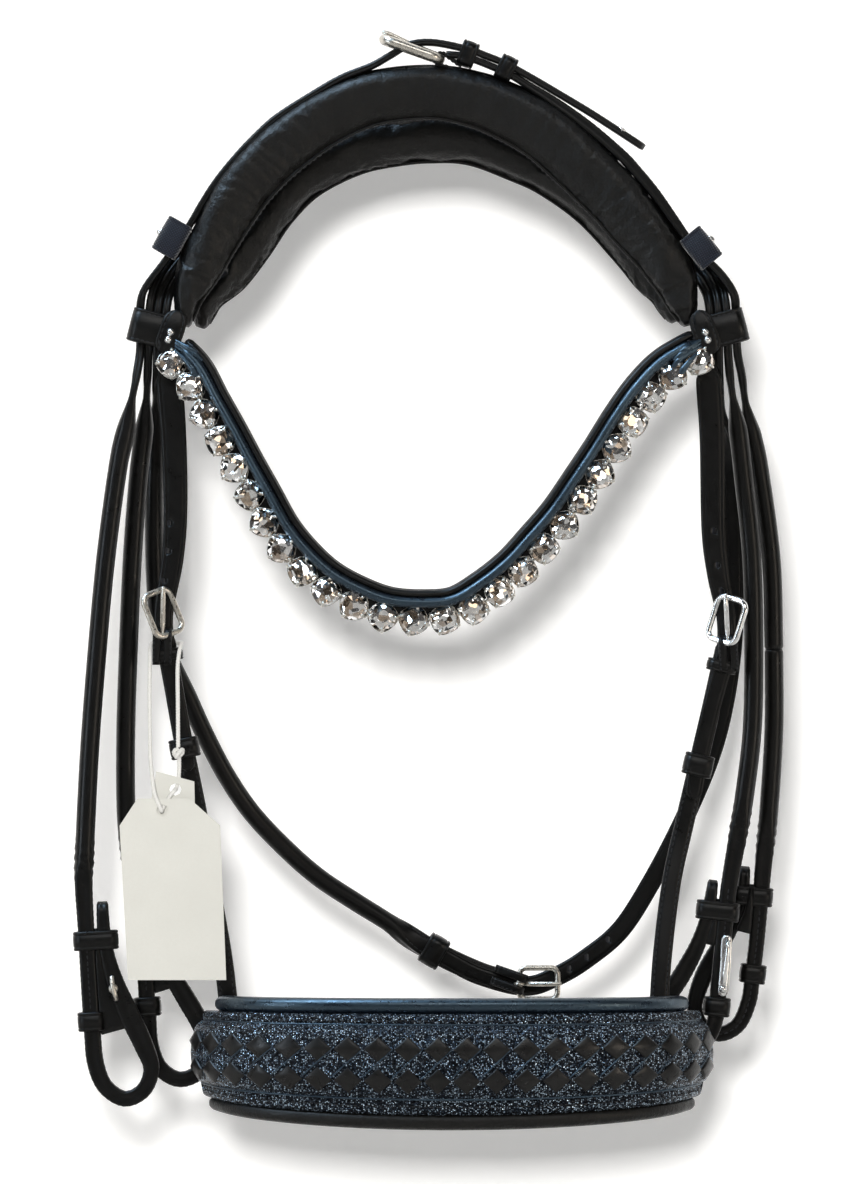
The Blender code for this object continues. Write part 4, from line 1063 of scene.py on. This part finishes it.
BRADOON_RIGHT_TOP = [
    (149, 0, LOOP_MIDDLE, 11, STACKED, 0), (149.8, 2, -97, 11, STACKED, 0),
    (152, 10, -108, 11, STACKED, 0), (154, 17.5, -121, 10.5, 3.4, 0),
    (157.5, 17.5, -138, 10, 9.6, 0), (161, 17.5, -155, 9.8, 9.6, 0), (167, 17.5, -200, 9.8, 9.6, 0),
    (168.4, 17.5, -245.4, 9.8, 9.6, 0),
]
# Rows are x, z, width along Y and thickness across the front. The last rows are the turned-up tip.
BRADOON_LEFT = [
    (-170.3, -246.3, 9.8, 9.6), (-174, -295, 9.8, 9.6), (-176.5, -345, 10, 9.6),
    (-177, -362, 11, 8.8), (-175.8, -385, 11.5, 8), (-174.4, -410, 11.5, 8),
    (-172.6, -437, 11.5, 8.2), (-171, -452, 11.5, 8.2), (-166.2, -463.5, 11.5, 7.8),
    (-156.5, -469.6, 11.5, 7.6), (-147, -465.2, 11.5, 7.6), (-143.2, -454.5, 11.5, 7.8),
    (-147.2, -442.5, 11.5, 9.4), (-154, -428, 11.5, 10), (-160.6, -413, 11.5, 8.6),
    (-164.8, -399, 11.5, 7), (-166.9, -386, 11.5, 6.4), (-167.7, -371, 10.5, 5.6),
]
CURB_LEFT_LOW = [
    (-155, -246.3, 9.8, 9.6), (-156.3, -290, 9.8, 9.6), (-156, -328, 9.8, 9.6),
    (-153.6, -352, 11, 8.8), (-150, -375, 11.5, 8), (-147, -400, 11.5, 8),
    (-145.2, -428, 11.5, 8.2), (-144, -443, 11.5, 8.2), (-139, -454.8, 11.5, 7.8),
    (-129.5, -460.4, 11.5, 7.6), (-119.6, -456.6, 11.5, 7.6), (-115.2, -446.5, 11.5, 7.8),
    (-118.6, -433.5, 11.5, 9), (-125.8, -420.5, 11.5, 9.4), (-133.2, -408, 11.5, 8.4),
    (-138.6, -395, 11.5, 7), (-141.6, -380, 11.5, 6.4), (-143.6, -366, 10.5, 5.6),
]
BRADOON_RIGHT = [
    (168.4, -246.3, 9.8, 9.6), (168.4, -285, 9.8, 9.6), (166, -325, 9.8, 9.6),
    (163.6, -349, 11, 8.6), (161.8, -370, 11.5, 7.8), (159.8, -392, 11.5, 7.6),
    (157.6, -410, 11.5, 7.6), (155.8, -422, 11.5, 7.6), (150.5, -433.6, 11.5, 7.4),
    (141, -438.2, 11.5, 7.4), (132, -433.6, 11.5, 7.4), (128.8, -424, 11.5, 7.6),
    (132.4, -411, 11.5, 8.6), (138.4, -399.5, 11.5, 8.8), (145, -388.5, 11.5, 7.6),
    (150.2, -377.5, 11.5, 6.6), (152.8, -367, 11.5, 6.2), (154.1, -354, 10.5, 5),
]
CURB_RIGHT_LOW = [
    (158, -246.3, 9.8, 9.6), (157.2, -285, 9.8, 9.6), (153.4, -318, 9.8, 9.6),
    (149.4, -342, 11, 8.8), (145.4, -365, 11.5, 8), (142.8, -390, 11.5, 8), (140.6, -412, 11.5, 8),
    (138.8, -430, 11.5, 7.8), (133.4, -441.4, 11.5, 7.6), (123.8, -445.8, 11.5, 7.4),
    (114.4, -441, 11.5, 7.4), (111.2, -431, 11.5, 7.6), (115.2, -419, 11.5, 8.6),
    (122, -408, 11.5, 8.8), (128.8, -395.5, 11.5, 7.8), (133, -384.5, 11.5, 6.8),
    (135.9, -373, 11.5, 6.2), (137.7, -360.5, 10.5, 5),
]
# kind, side, rows above and below the bend, y at the bend and at the bottom, pucker, and the x, z
# and half width of the upper and of the lower keeper
CHEEKS = (
    ("bradoon", "left", BRADOON_LEFT_TOP, BRADOON_LEFT, -7, -7, (-351, 12), (-170.9, -390.5, 9.6),
     (-173.2, -431, 5.0)),
    ("curb", "left", CURB_LEFT, CURB_LEFT_LOW, 6.5, 7.5, (-348, 12), (-145.2, -382, 9.6),
     (-145.5, -424, 5.0)),
    ("bradoon", "right", BRADOON_RIGHT_TOP, BRADOON_RIGHT, 17.5, 22.4, (-340, 11),
     (157.1, -369, 9.2), (158.0, -408, 4.8)),
    ("curb", "right", CURB_RIGHT, CURB_RIGHT_LOW, 4.5, 5.0, (-334, 12), (140.0, -376, 9.3),
     (139.6, -424, 4.9)),
)


LAYER_ENDS = {"bradoon_left": -436, "curb_left": -416, "bradoon_right": -387, "curb_right": -393}


def slope_at(rows, z):
    for (xa, za, *_), (xb, zb, *_) in zip(rows, rows[1:]):
        if za >= z >= zb:
            return unit((xb - xa, 0, zb - za))
    return -UP


def inner_layer(body, rows, top, bottom):
    """The layer of leather that fills the wedge between the two legs of a strap's loop."""
    lowest = min(range(len(rows)), key=lambda i: rows[i][2])
    legs = [sorted(part, key=lambda row: -row[2]) for part in (rows[:lowest], rows[lowest + 1:])]
    layer = []
    for z in np.linspace(top, bottom, 6):
        sides = []
        for leg, inward in zip(legs, (1, -1), strict=True):
            heights = [-row[2] for row in leg]
            x = np.interp(-z, heights, [row[0] for row in leg])
            half = np.interp(-z, heights, [row[4] / 2 for row in leg])
            sides.append((x, half))
        (a, half_a), (b, half_b) = sides
        way = math.copysign(1, b - a)
        low, high = a + way * (half_a - 0.3), b - way * (half_b - 0.3)
        layer.append(((low + high) / 2, rows[0][1], z, 10.2, max(1.2, abs(high - low)), 0))
    place(strap(f"{body}_layer", layer, layers=False), body, "black_leather")


def bit_straps():
    for kind, side, top, low, y_top, y_low, pucker, upper, lower in CHEEKS:
        body = f"{kind}_{side}"
        start = low[0][1]

        def y_at(z):
            return y_top + (y_low - y_top) * min(1, (start - z) / 150)

        rows = [(x, y_at(z), z, w, t, 0) for x, z, w, t in low]
        inner_layer(body, rows, upper[1] + 6, LAYER_ENDS[body])
        stitched = ((0, 0.60, 0.68), (18, 0.60, 0.68), (6, 0.56, 0.99), (12, 0.56, 0.99),
                    (24, 0.56, 0.99), (30, 0.56, 0.99))
        if body == "bradoon_right":
            upper_part = strap("bradoon_right_upper", top)
            place(upper_part, "headpiece", "black_leather", "sliphead_buckle_strap",
                  bend=("curb_right", -205, -240))
            rows[0] = (168.4, 17.5, -244.9, 9.6, 9.4, 0)
            made = strap("bradoon_right_lower", rows, tips=(False, True), pucker=pucker,
                         stitches=tuple((k, (a - 0.3) / 0.7, b) for k, a, b in stitched))
            place(made, "curb_right", "black_leather", "bradoon_cheek_right",
                  bend=("bradoon_right", -245, -285))
        else:
            also = {"bradoon_left": "sliphead_point_strap", "curb_left": "crown_strap"}.get(body)
            made = strap(f"{body}_strap", top + rows, tips=(False, True), pucker=pucker,
                         stitches=stitched)
            place(made, "headpiece", "black_leather", f"{kind}_cheek_{side}",
                  *([also] if also else []), bend=(body, -205, -285))
        for level, (x, z, half) in (("upper", upper), ("lower", lower)):
            made = keeper(f"{body}_{level}_keeper", (x, y_at(z), z), slope_at(low, z), BACK, 6.3,
                          half, 9.5, wall=1.6)
            place(made, body, "black_leather", f"{kind}_keeper_{level}_{side}")
    build = Build()
    rod(build, smooth([(-162.9, -13.6, -408.4), (-162.7, -14.9, -411), (-162.0, -15.3, -414.5),
                       (-161.0, -14.9, -418), (-160.6, -13.4, -420)], 0.6), 1.2)
    dome(build, (-162.1, -12.6, -414.5), -BACK, 2.2, 0.8)
    place(build.piece("bradoon_stud", SATIN), "bradoon_left", "steel", "bradoon_stud_left")
    build = Build()
    rows = [(144.4, -1.9, -388, 5.2, 1.2, 90), (143.7, -2.1, -403, 5.4, 1.2, 90),
            (142.4, -1.9, -418.6, 5.2, 1.2, 90)]
    plate = strap("curb_stud_plate", rows, CHROME, tips=(True, True), layers=False, step=0.8)
    place(plate, "curb_right", "steel", "curb_stud_right")
    rod(build, smooth([(144.7, -2.4, -391), (144.9, -4.6, -393.5), (144.2, -4.9, -400),
                       (143.0, -4.4, -408), (142.4, -3.0, -412)], 0.6), 1.15)
    dome(build, (142.4, -2.7, -415), -BACK, 1.7, 0.9)
    place(build.piece("curb_stud_hook", CHROME), "curb_right", "steel")


# ---- noseband straps ---------------------------------------------------------------

BILLET_Y = -4.5
SLANT = np.array((0.85, 1, 0))  # the holes are punched at a slant, so nothing shows through them
BILLETS = {
    "left": [(-136.2, 0, LOOP_MIDDLE, 11, STACKED, 0), (-136.2, -1, -99.5, 11, STACKED, 0),
             (-135.2, -3.6, -106, 10.6, BLADE, 45), (-134, BILLET_Y, -113, 13, BLADE, 90),
             (-132, BILLET_Y, -140, 12.6, BLADE, 90), (-131.2, BILLET_Y, -175, 12, BLADE, 90),
             (-132.6, BILLET_Y, -200, 11, BLADE, 90), (-137, BILLET_Y, -227, 9.6, BLADE, 90),
             (-135.6, BILLET_Y, -245, 9.2, BLADE, 90), (-131.5, BILLET_Y, -268, 9.2, BLADE, 90),
             (-127.5, BILLET_Y, -290, 9.2, BLADE, 90), (-124.6, BILLET_Y, -306, 8.6, BLADE, 90)],
    "right": [(136.2, 0, LOOP_MIDDLE, 11, STACKED, 0), (136.2, -1, -99.5, 11, STACKED, 0),
              (135.2, -3.8, -106, 10.6, BLADE, -45), (135.4, BILLET_Y, -113, 13, BLADE, -90),
              (137, BILLET_Y, -140, 12.6, BLADE, -90), (137.6, BILLET_Y, -185, 12, BLADE, -90),
              (140, BILLET_Y, -208, 11, BLADE, -90), (144, BILLET_Y, -230, 9.6, BLADE, -90),
              (143, BILLET_Y, -250, 9.2, BLADE, -90), (136.5, BILLET_Y, -275, 9.2, BLADE, -90),
              (130.5, BILLET_Y, -300, 9.2, BLADE, -90), (127.4, BILLET_Y, -320, 9.0, BLADE, -90)],
}
HANGERS = {
    "left": [(-136.2, 0.7, -239.5, 9.4, 6.4, 90), (-131.5, 0.7, -268, 9.4, 6.2, 90),
             (-127.2, 0.5, -292, 9.4, 5.4, 90), (-120.6, 0.4, -325, 9.6, 4.6, 90),
             (-114.4, -1.2, -360, 9.6, 4.2, 90), (-107.4, -2.4, -400, 9.6, 4.2, 90),
             (-103.4, -2.4, -436, 9.6, 4.2, 90)],
    "right": [(143.6, 0.7, -243.5, 9.4, 6.4, -90), (136.5, 0.7, -275, 9.4, 6.2, -90),
              (130.2, 0.5, -302, 9.4, 5.4, -90), (122.8, -0.2, -334, 9.6, 4.6, -90),
              (116.6, -5, -362, 9.6, 4.2, -90), (111.8, -12, -400, 9.6, 4.2, -90),
              (109.6, -17, -436, 9.6, 4.2, -90)],
}
HOLES = {"left": (-182, -196, -211), "right": (-186, -203, -216)}
SIDE_BUCKLES = {"left": (-137.4, -227, (-0.02, 0, -1)), "right": (144.2, -230.5, (0.05, 0, -1))}
HANGER_KEEPERS = {
    "left": (("upper", -248, 6.2), ("lower", -294.5, 10.0)),
    "right": (("upper", -253.5, 6.2), ("lower", -303, 11.0)),
}


def x_at(rows, z):
    for a, b in zip(rows, rows[1:]):
        if a[2] >= z >= b[2]:
            return a[0] + (b[0] - a[0]) * (a[2] - z) / (a[2] - b[2])
    return rows[-1][0]


def nose_straps():
    for side in ("left", "right"):
        billet, hanger = BILLETS[side], HANGERS[side]
        holes = [(x_at(billet, z) - 1.6 * (side == "left") + 1.6 * (side == "right"), BILLET_Y, z,
                  SLANT) for z in HOLES[side]]
        made = strap(f"billet_{side}", billet, tips=(False, True), holes=holes, layers=False)
        also = ["noseband_headpiece"] if side == "left" else []
        place(made, "headpiece", "black_leather", f"noseband_billet_{side}", *also,
              bend=("noseband", -126, -154))
        edge = ((6, 0.02, 0.93), (12, 0.02, 0.93), (24, 0.02, 0.93), (30, 0.02, 0.93))
        place(strap(f"hanger_{side}", hanger, stitches=edge), "noseband", "black_leather",
              f"noseband_hanger_{side}")
        x, z, way = SIDE_BUCKLES[side]
        way, across, _ = basis(way, (1, 0, 0))
        centre = np.array((x, -8.2, z))
        finish = SATIN if side == "left" else CHROME
        lean = unit(way + (1, 0, 0) * np.array(0.42 if side == "left" else -0.36))
        face = unit(-BACK + np.cross(lean, BACK) * (0.62 if side == "left" else -0.55))
        made = buckle(f"side_buckle_frame_{side}", centre - BACK * 1.2, face, lean, 11.0, 8.2, 4.2,
                      3.1, finish)
        place(made, "noseband", "steel", f"side_buckle_{side}")
        bar, foot = centre + way * 11, centre + way * 9.4
        shaft = [foot - way * 2.6, foot - way * 9 - BACK * 1.6, foot - way * 18 - BACK * 3.2,
                 foot - way * 22.5 - BACK * 3.1]
        made = tongue(f"side_buckle_pin_{side}", shaft, (2.6, 2.6, 2.4, 1.8), bar, across, finish)
        place(made, f"side_tongue_{side}", "steel", f"side_tongue_{side}")
        fold_lobes(f"side_lobes_{side}", bar, way, across, BACK, reach=15, apart=2.9, width=3.9,
                   body="noseband")
        for level, kz, tall in HANGER_KEEPERS[side]:
            run = np.array((x_at(hanger, kz - 6) - x_at(hanger, kz + 6), 0, -12.0))
            kx = x_at(hanger, kz) / 2 + x_at(billet, kz) / 2
            made = keeper(f"{level}_keeper_{side}", (kx, -1.1, kz), run, (1, 0, 0), 5.9, 5.9, tall,
                          wall=1.5)
            body = f"hanger_keeper_{side}" if level == "lower" else "noseband"
            place(made, body, "black_leather", f"hanger_keeper_{level}_{side}")


# ---- noseband ----------------------------------------------------------------------

NOSE_X = 7.0
NOSE_RISE = 7.5
NOSE_HALF = [
    (0, -63), (22, -62.6), (44, -60.4), (64, -56), (82, -49.5), (97, -40), (108, -28.5),
    (115.5, -15.5), (119.5, -6),
]
PANEL = [
    (-425.4, 4.6), (-426.2, 5.7), (-427.2, 6.2), (-430.2, 6.3), (-430.9, 5.6), (-431.5, 7.2),
    (-433.4, 9.3), (-436, 10.7), (-443, 12.3), (-450, 12.8), (-457, 12.3), (-463, 10.6),
    (-466.2, 8.8), (-467.7, 7.0), (-468.3, 5.7), (-469.0, 6.3), (-474, 6.2), (-475.0, 5.6),
    (-475.7, 4.6),
]
ROW_HEIGHTS = (-443.0, -458.8)
LOZENGES = 20
LOZENGE_PITCH = 14.2
LOZENGE_WIDE = 13.4
LOZENGE_TALL = 13.0


def nose_line(reach, step=2.4):
    half = [(-x, y, 0) for x, y in NOSE_HALF[:0:-1]] + [(x, y, 0) for x, y in NOSE_HALF]
    line = smooth(half, step)
    along = lengths_along(line)
    keep = np.abs(along - along[-1] / 2) <= along[-1] / 2 * reach + 1e-6
    return line[keep] + (NOSE_X, 0, 0)


NOSE = nose_line(1.0, 1.0)
NOSE_ALONG = lengths_along(NOSE)
NOSE_OUT = unit(np.cross(ways(NOSE), UP))
PANEL_Z = np.array([z for z, _ in PANEL])
PANEL_OUT = np.array([out for _, out in PANEL])


def risen(s, z):
    """The noseband is a little lower in its middle than at its ends."""
    return z + NOSE_RISE * (s / 140) ** 2 * max(0.0, -425.0 - z) / 50


def on_panel(s, z, lift=0.0):
    """The point on the panel's face at s along it from its middle, lifted off it."""
    at = NOSE_ALONG[-1] / 2 + s
    spot = np.array([np.interp(at, NOSE_ALONG, NOSE[:, k]) for k in range(2)])
    out = np.array([np.interp(at, NOSE_ALONG, NOSE_OUT[:, k]) for k in range(2)])
    depth = np.interp(-z, -PANEL_Z, PANEL_OUT) + lift
    return (*(spot + out * depth), risen(s, z))


def around_nose(name, section, reach, material, stitched=(), taper=8.0):
    """A piece with one section of (z, out) points all round the noseband, drawn in at its ends."""
    line = nose_line(reach)
    along = lengths_along(line)
    section = np.array(section, float)
    middle = section.mean(0)
    end = np.clip(np.minimum(along, along[-1] - along) / taper, 0,
                  1) if taper else np.ones(len(along))
    scale = 0.3 + 0.7 * np.sqrt(1 - (1 - end) ** 2)
    out = unit(np.cross(ways(line), UP))
    rings = []
    for here, way, share, s in zip(line, out, scale, along - along[-1] / 2, strict=True):
        shape = middle + (section - middle) * share
        rings.append([(here[0] + way[0] * b, here[1] + way[1] * b, risen(s, a)) for a, b in shape])
    build = Build()
    build.add(*skin(np.array(rings)))
    for z, lift in stitched:
        spindles(build, np.array([on_panel(s, z, lift) for s in np.arange(-138, 138.1, 2)]),
                 pitch=3.2, long=2.3, fat=0.32)
    return build.piece(name, material, THREAD)


def oval(middle_z, middle_out, tall, deep, sides=20, power=0.85):
    """A section for around_nose: a squared oval, as heights and distances out from the shell."""
    points = []
    for a in 2 * math.pi * np.arange(sides) / sides:
        up = math.copysign(abs(math.cos(a)) ** power, math.cos(a))
        out = math.copysign(abs(math.sin(a)) ** power, math.sin(a))
        points.append((middle_z + tall / 2 * up, middle_out + deep / 2 * out))
    return points


def lozenge(build, s, z, lean):
    """A smooth pillow of leather in a diamond shape, which stands proud of the glitter."""
    grid = (-1, -0.97, -0.86, -0.6, -0.3, 0, 0.3, 0.6, 0.86, 0.97, 1)
    count = len(grid)
    points = []
    for a in grid:
        for b in grid:
            rim = min(1 - abs(a), 1 - abs(b))
            pillow = 0.5 * (1 - a**4) * (1 - b**4)
            lift = -0.4 + 1.2 * min(1, rim / 0.03) + pillow + lean * 0.35 * (a - b)
            spot_s = s + LOZENGE_WIDE / 2 * (a + b) / 2
            spot_z = z + LOZENGE_TALL / 2 * (a - b) / 2
            points.append(on_panel(spot_s, spot_z, lift if rim > 0.01 else -0.4))
    faces = [(i * count + j, (i + 1) * count + j, (i + 1) * count + j + 1, i * count + j + 1)
             for i in range(count - 1) for j in range(count - 1)]
    build.add(points, faces)


def noseband():
    back = [(-475.7, 0.4), (-425.4, 0.4)]
    fine = [(z, np.interp(-z, -PANEL_Z, PANEL_OUT)) for z in np.arange(-425.4, -475.7, -0.8)]
    fine.append((-475.7, 4.6))
    made = around_nose("noseband_panel", fine + back, 1.0, GLITTER,
                       stitched=((-429.0, 0.25), (-471.6, 0.25)), taper=2.2)
    place(made, "noseband", "glitter", "noseband_shell")
    pad = oval(-450.5, -3.1, 49.5, 5.2, 36, 0.7)
    place(around_nose("noseband_lining", pad, 0.985, SOFT), "noseband",
          "padding_leather", "noseband_pad")
    for name, solid, section in (("noseband_top_roll", "noseband_roll_upper",
                                  oval(-421.7, -0.6, 8.0, 10.2)),
                                 ("noseband_bottom_roll", "noseband_roll_lower",
                                  oval(-479.0, -0.2, 8.6, 11.4))):
        made = around_nose(name, section, 0.94 if "top" in name else 0.97,
                           NAVY if "top" in name else SOFT, taper=5)
        place(made, "noseband", "padding_leather", solid)
    build, slits_and_groove_shade = Build(), Build()
    for k in range(LOZENGES):
        s = (k - (LOZENGES - 1) / 2) * LOZENGE_PITCH
        for z, lean in zip(ROW_HEIGHTS, (1.0, -0.4), strict=True):
            lozenge(build, s, z, lean)
        if k == 0:
            continue
        path = [on_panel(s + LOZENGE_WIDE * 0.46 - t, ROW_HEIGHTS[0] - 0.6 - t, 0.1)
                for t in np.linspace(-1.0, 14.5, 11)]
        rod(slits_and_groove_shade, path, 0.34, sides=6)
    # Dark navy rods laid in the panel's two grooves stand in for the shade in the grooves: painted
    # shade.
    for z in (-430.9, -467.9):
        rod(slits_and_groove_shade, np.array([on_panel(s, z, 0.35) for s in np.arange(-139, 139.1, 1.5)]), 0.55,
            sides=8)
    place(build.piece("noseband_lozenges", LOZENGE), "noseband", "glitter")
    place(slits_and_groove_shade.piece("noseband_slits", NAVY), "noseband", "glitter")


def chin_strap():
    left = [(-95.5, -25.5), (-91, -12), (-82, 2), (-62, 17), (-38, 26.5), (-16, 30), (-3, 30.3)]
    right = [(95.5, -25.5), (91, -12), (82, 2), (62, 17.5), (38, 29), (16, 33.6), (0, 34.4),
             (-16, 33.9), (-34, 31.2)]
    edge = ((6, 0.03, 0.97), (12, 0.03, 0.97), (24, 0.03, 0.97), (30, 0.03, 0.97))
    for name, line, tip in (("chin_strap_buckle_side", left, False),
                            ("chin_strap_point_side", right, True)):
        rows = [(x + NOSE_X, y, -444, 16, BLADE, 90) for x, y in line]
        made = strap(name.replace("strap_", ""), rows, stitches=edge, tips=(False, tip))
        place(made, "noseband", "black_leather", name)
    centre = np.array((NOSE_X + 2, 38.0, -444))
    place(buckle("chin_buckle_frame", centre, BACK, (1, 0, 0), 11, 10.4, 3.8, 3.0), "noseband",
          "steel", "chin_buckle")
    foot = NOSE_X + 2 - 9.5
    shaft = [(foot + 2.6, 38.0, -444), (foot + 9, 39.6, -444), (foot + 18, 41.2, -444),
             (foot + 22.5, 41.1, -444)]
    made = tongue("chin_buckle_pin", shaft, (2.4, 2.4, 2.2, 1.8), (foot - 1.5, 38.0, -444), -UP)
    place(made, "chin_tongue", "steel", "chin_tongue")
    fold_lobes("chin_lobes", centre - (11, 0, 0), (-1, 0, 0), UP, -BACK, reach=15, apart=4.6,
               width=6.4, body="noseband")


# ---- throatlatch -------------------------------------------------------------------

THROAT_LEFT = [
    (-140.4, 0, LOOP_MIDDLE, 11, STACKED, 0), (-140.5, 1.2, -103, 11, STACKED, 0),
    (-140.9, 10, -111, 11, STACKED, 0), (-141.4, 19, -121, 10.5, 3.4, 0),
    (-142, 21, -137, 9.6, 9, 0), (-142.4, 21, -170, 9.4, 9.4, 0), (-142, 21, -205, 9.4, 9.4, 0),
    (-140, 21, -230, 9.4, 9.4, 0), (-134.5, 21, -250, 9.4, 9.4, 0), (-126, 22, -268, 9.4, 9.4, 0),
    (-117, 24, -288, 9.4, 9.4, 0), (-106, 27, -309, 9.4, 9.4, 0), (-93, 31, -328, 9.4, 9.4, 0),
    (-76, 35, -346, 9.4, 9.4, 0), (-60, 38, -360, 9.4, 9.4, 0), (-42, 40.5, -372, 9.4, 9.4, 0),
    (-26, 42, -382, 9.6, 9, 30), (-12, 43, -391.5, 10.4, 8, 75), (4, 43.6, -400.5, 11, 7.4, 90),
    (22, 44, -408.5, 11, 7, 90), (36, 44, -412.6, 11, 6.4, 90),
]
THROAT_RIGHT = [
    (140.4, 0, LOOP_MIDDLE, 11, STACKED, 0), (140.5, 1.4, -103, 11, STACKED, 0),
    (141, 12, -112, 11, STACKED, 0), (142, 24, -124, 10.5, STACKED, 0),
    (144.6, 28.5, -140, 10, BLADE, -45), (147.4, 29.5, -165, 9.6, BLADE, -90),
    (148.6, 30, -205, 9.6, BLADE, -90), (148.2, 31, -240, 9.6, BLADE, -90),
    (144, 32, -272, 9.6, BLADE, -90), (136.6, 33, -300, 9.6, BLADE, -90),
    (123, 34.5, -332, 9.6, BLADE, -90), (107.4, 36, -362, 9.6, BLADE, -90),
    (92, 37, -386, 9.8, BLADE, -90), (75, 37.6, -400.5, 10, BLADE, -90),
    (60, 38, -409.5, 10, BLADE, -90), (44, 38, -414.6, 10, BLADE, -90),
    (22, 38, -409.4, 10, BLADE, -90), (8, 37.6, -402.6, 10, BLADE, -90),
    (-4, 37.2, -395.4, 9.6, BLADE, -90),
]


def throatlatch():
    bend = ("throatlatch", -88, -112)
    made = strap("throat_buckle_side", THROAT_LEFT,
                 stitches=((6, 0.86, 1), (12, 0.86, 1), (24, 0.86, 1), (30, 0.86, 1)))
    place(made, "headpiece", "black_leather", "throatlatch_buckle_strap", bend=bend)
    holes = [(x, 37.6, z, SLANT) for x, z in ((67, -405.6), (76, -399.8), (87, -391))]
    made = strap("throat_point_side", THROAT_RIGHT, holes=holes, tips=(False, True), layers=False)
    place(made, "headpiece", "black_leather", "throatlatch_point_strap", bend=bend)
    centre = np.array((50.5, 33.2, -413.2))
    place(buckle("throat_buckle_frame", centre, BACK, (1, 0, 0), 9.6, 7.9, 3.4, 2.9), "throatlatch",
          "steel", "throatlatch_buckle")
    foot = np.array((42.6, 33.2, -413.4))
    shaft = [foot + (2.6, 0, 0), foot + (8, -1.6, 0), foot + (15.4, -3.0, 0.1),
             foot + (19.5, -2.9, 0.2)]
    made = tongue("throat_buckle_pin", shaft, (2.4, 2.4, 2.2, 1.8), foot - (1.7, 0, 0), UP)
    place(made, "throatlatch_tongue", "steel", "throatlatch_tongue")
    fold_lobes("throat_lobes", centre - (9.6, 0, 0), unit((-1, 0, 0.35)), unit((0.35, 0, 1)), BACK,
               reach=14, apart=3.2, width=4.2, body="throatlatch")
    made = keeper("throat_keeper", (-2, 41.0, -397.2), (16, 0.4, -9.2), BACK, 7.2, 6.4, 10.5,
                  wall=1.5)
    place(made, "throatlatch", "black_leather", "throatlatch_keeper")


# ---- tags and their cord -------------------------------------------------------------

CORD = 2.2
CORD_ROUTE = [
    (-129.6, -17.4, -294), (-129.8, -15.6, -272), (-130.0, -12.8, -256), (-129.4, -11.2, -248),
    (-128.4, -8.4, -243), (-128.2, -2.6, -242), (-129.4, 3.4, -242), (-132.6, 6.4, -242),
    (-137, 6.8, -242), (-141.6, 4.4, -242.2), (-143.6, -2.6, -243), (-143.9, -9.6, -250),
    (-143.9, -15.4, -272), (-143.4, -19.2, -298), (-141.6, -22.2, -315), (-139.4, -23.2, -321.6),
    (-137.9, -21.6, -325.1), (-137.7, -17.4, -325.4), (-135.8, -16.4, -321.8),
    (-132.9, -17.4, -317.2), (-131.2, -16.8, -315.2), (-130.9, -12.9, -314.9),
    (-129.8, -11.4, -311.4), (-129.2, -12.0, -305), (-129.2, -14.0, -298.4),
]
KNOT = [
    (-129.5, -17.2, -294.5), (-131.6, -17.6, -296), (-130.8, -15.2, -298.2),
    (-128.0, -14.6, -297.4), (-127.6, -17.0, -295.2), (-129.2, -18.6, -296.6),
    (-130.6, -17.2, -298.6), (-129.2, -14.6, -298.8),
]


def twisted(path, radius, lay=4.6, sides=18):
    """Rings of a cord of three strands, laid round each other."""
    rings = rod_rings(path, radius, sides=sides)
    along = lengths_along(path)
    turns = 2 * math.pi * np.arange(sides) / sides
    lobes = 0.9 + 0.1 * np.cos(3 * (turns[None] - 2 * math.pi * along[:, None] / lay))
    return path[:, None, :] + (rings - path[:, None, :]) * lobes[..., None]


def tags():
    for solid in ("swing_tag", "small_tag"):
        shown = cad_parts[solid]
        shown.data.materials.clear()
        shown.data.materials.append(CARD)
    path = smooth(CORD_ROUTE, 0.7)
    cord = mesh_piece("tag_string", *skin(twisted(path, CORD / 2)), COTTON)
    knot = mesh_piece("string_knot", *skin(twisted(smooth(KNOT, 0.5), 1.15)), COTTON)
    place(cord, "noseband", "cord", "tag_cord")
    place(knot, "noseband", "cord")


crown()
sliphead()
browband()
bit_straps()
nose_straps()
noseband()
chin_strap()
throatlatch()
tags()
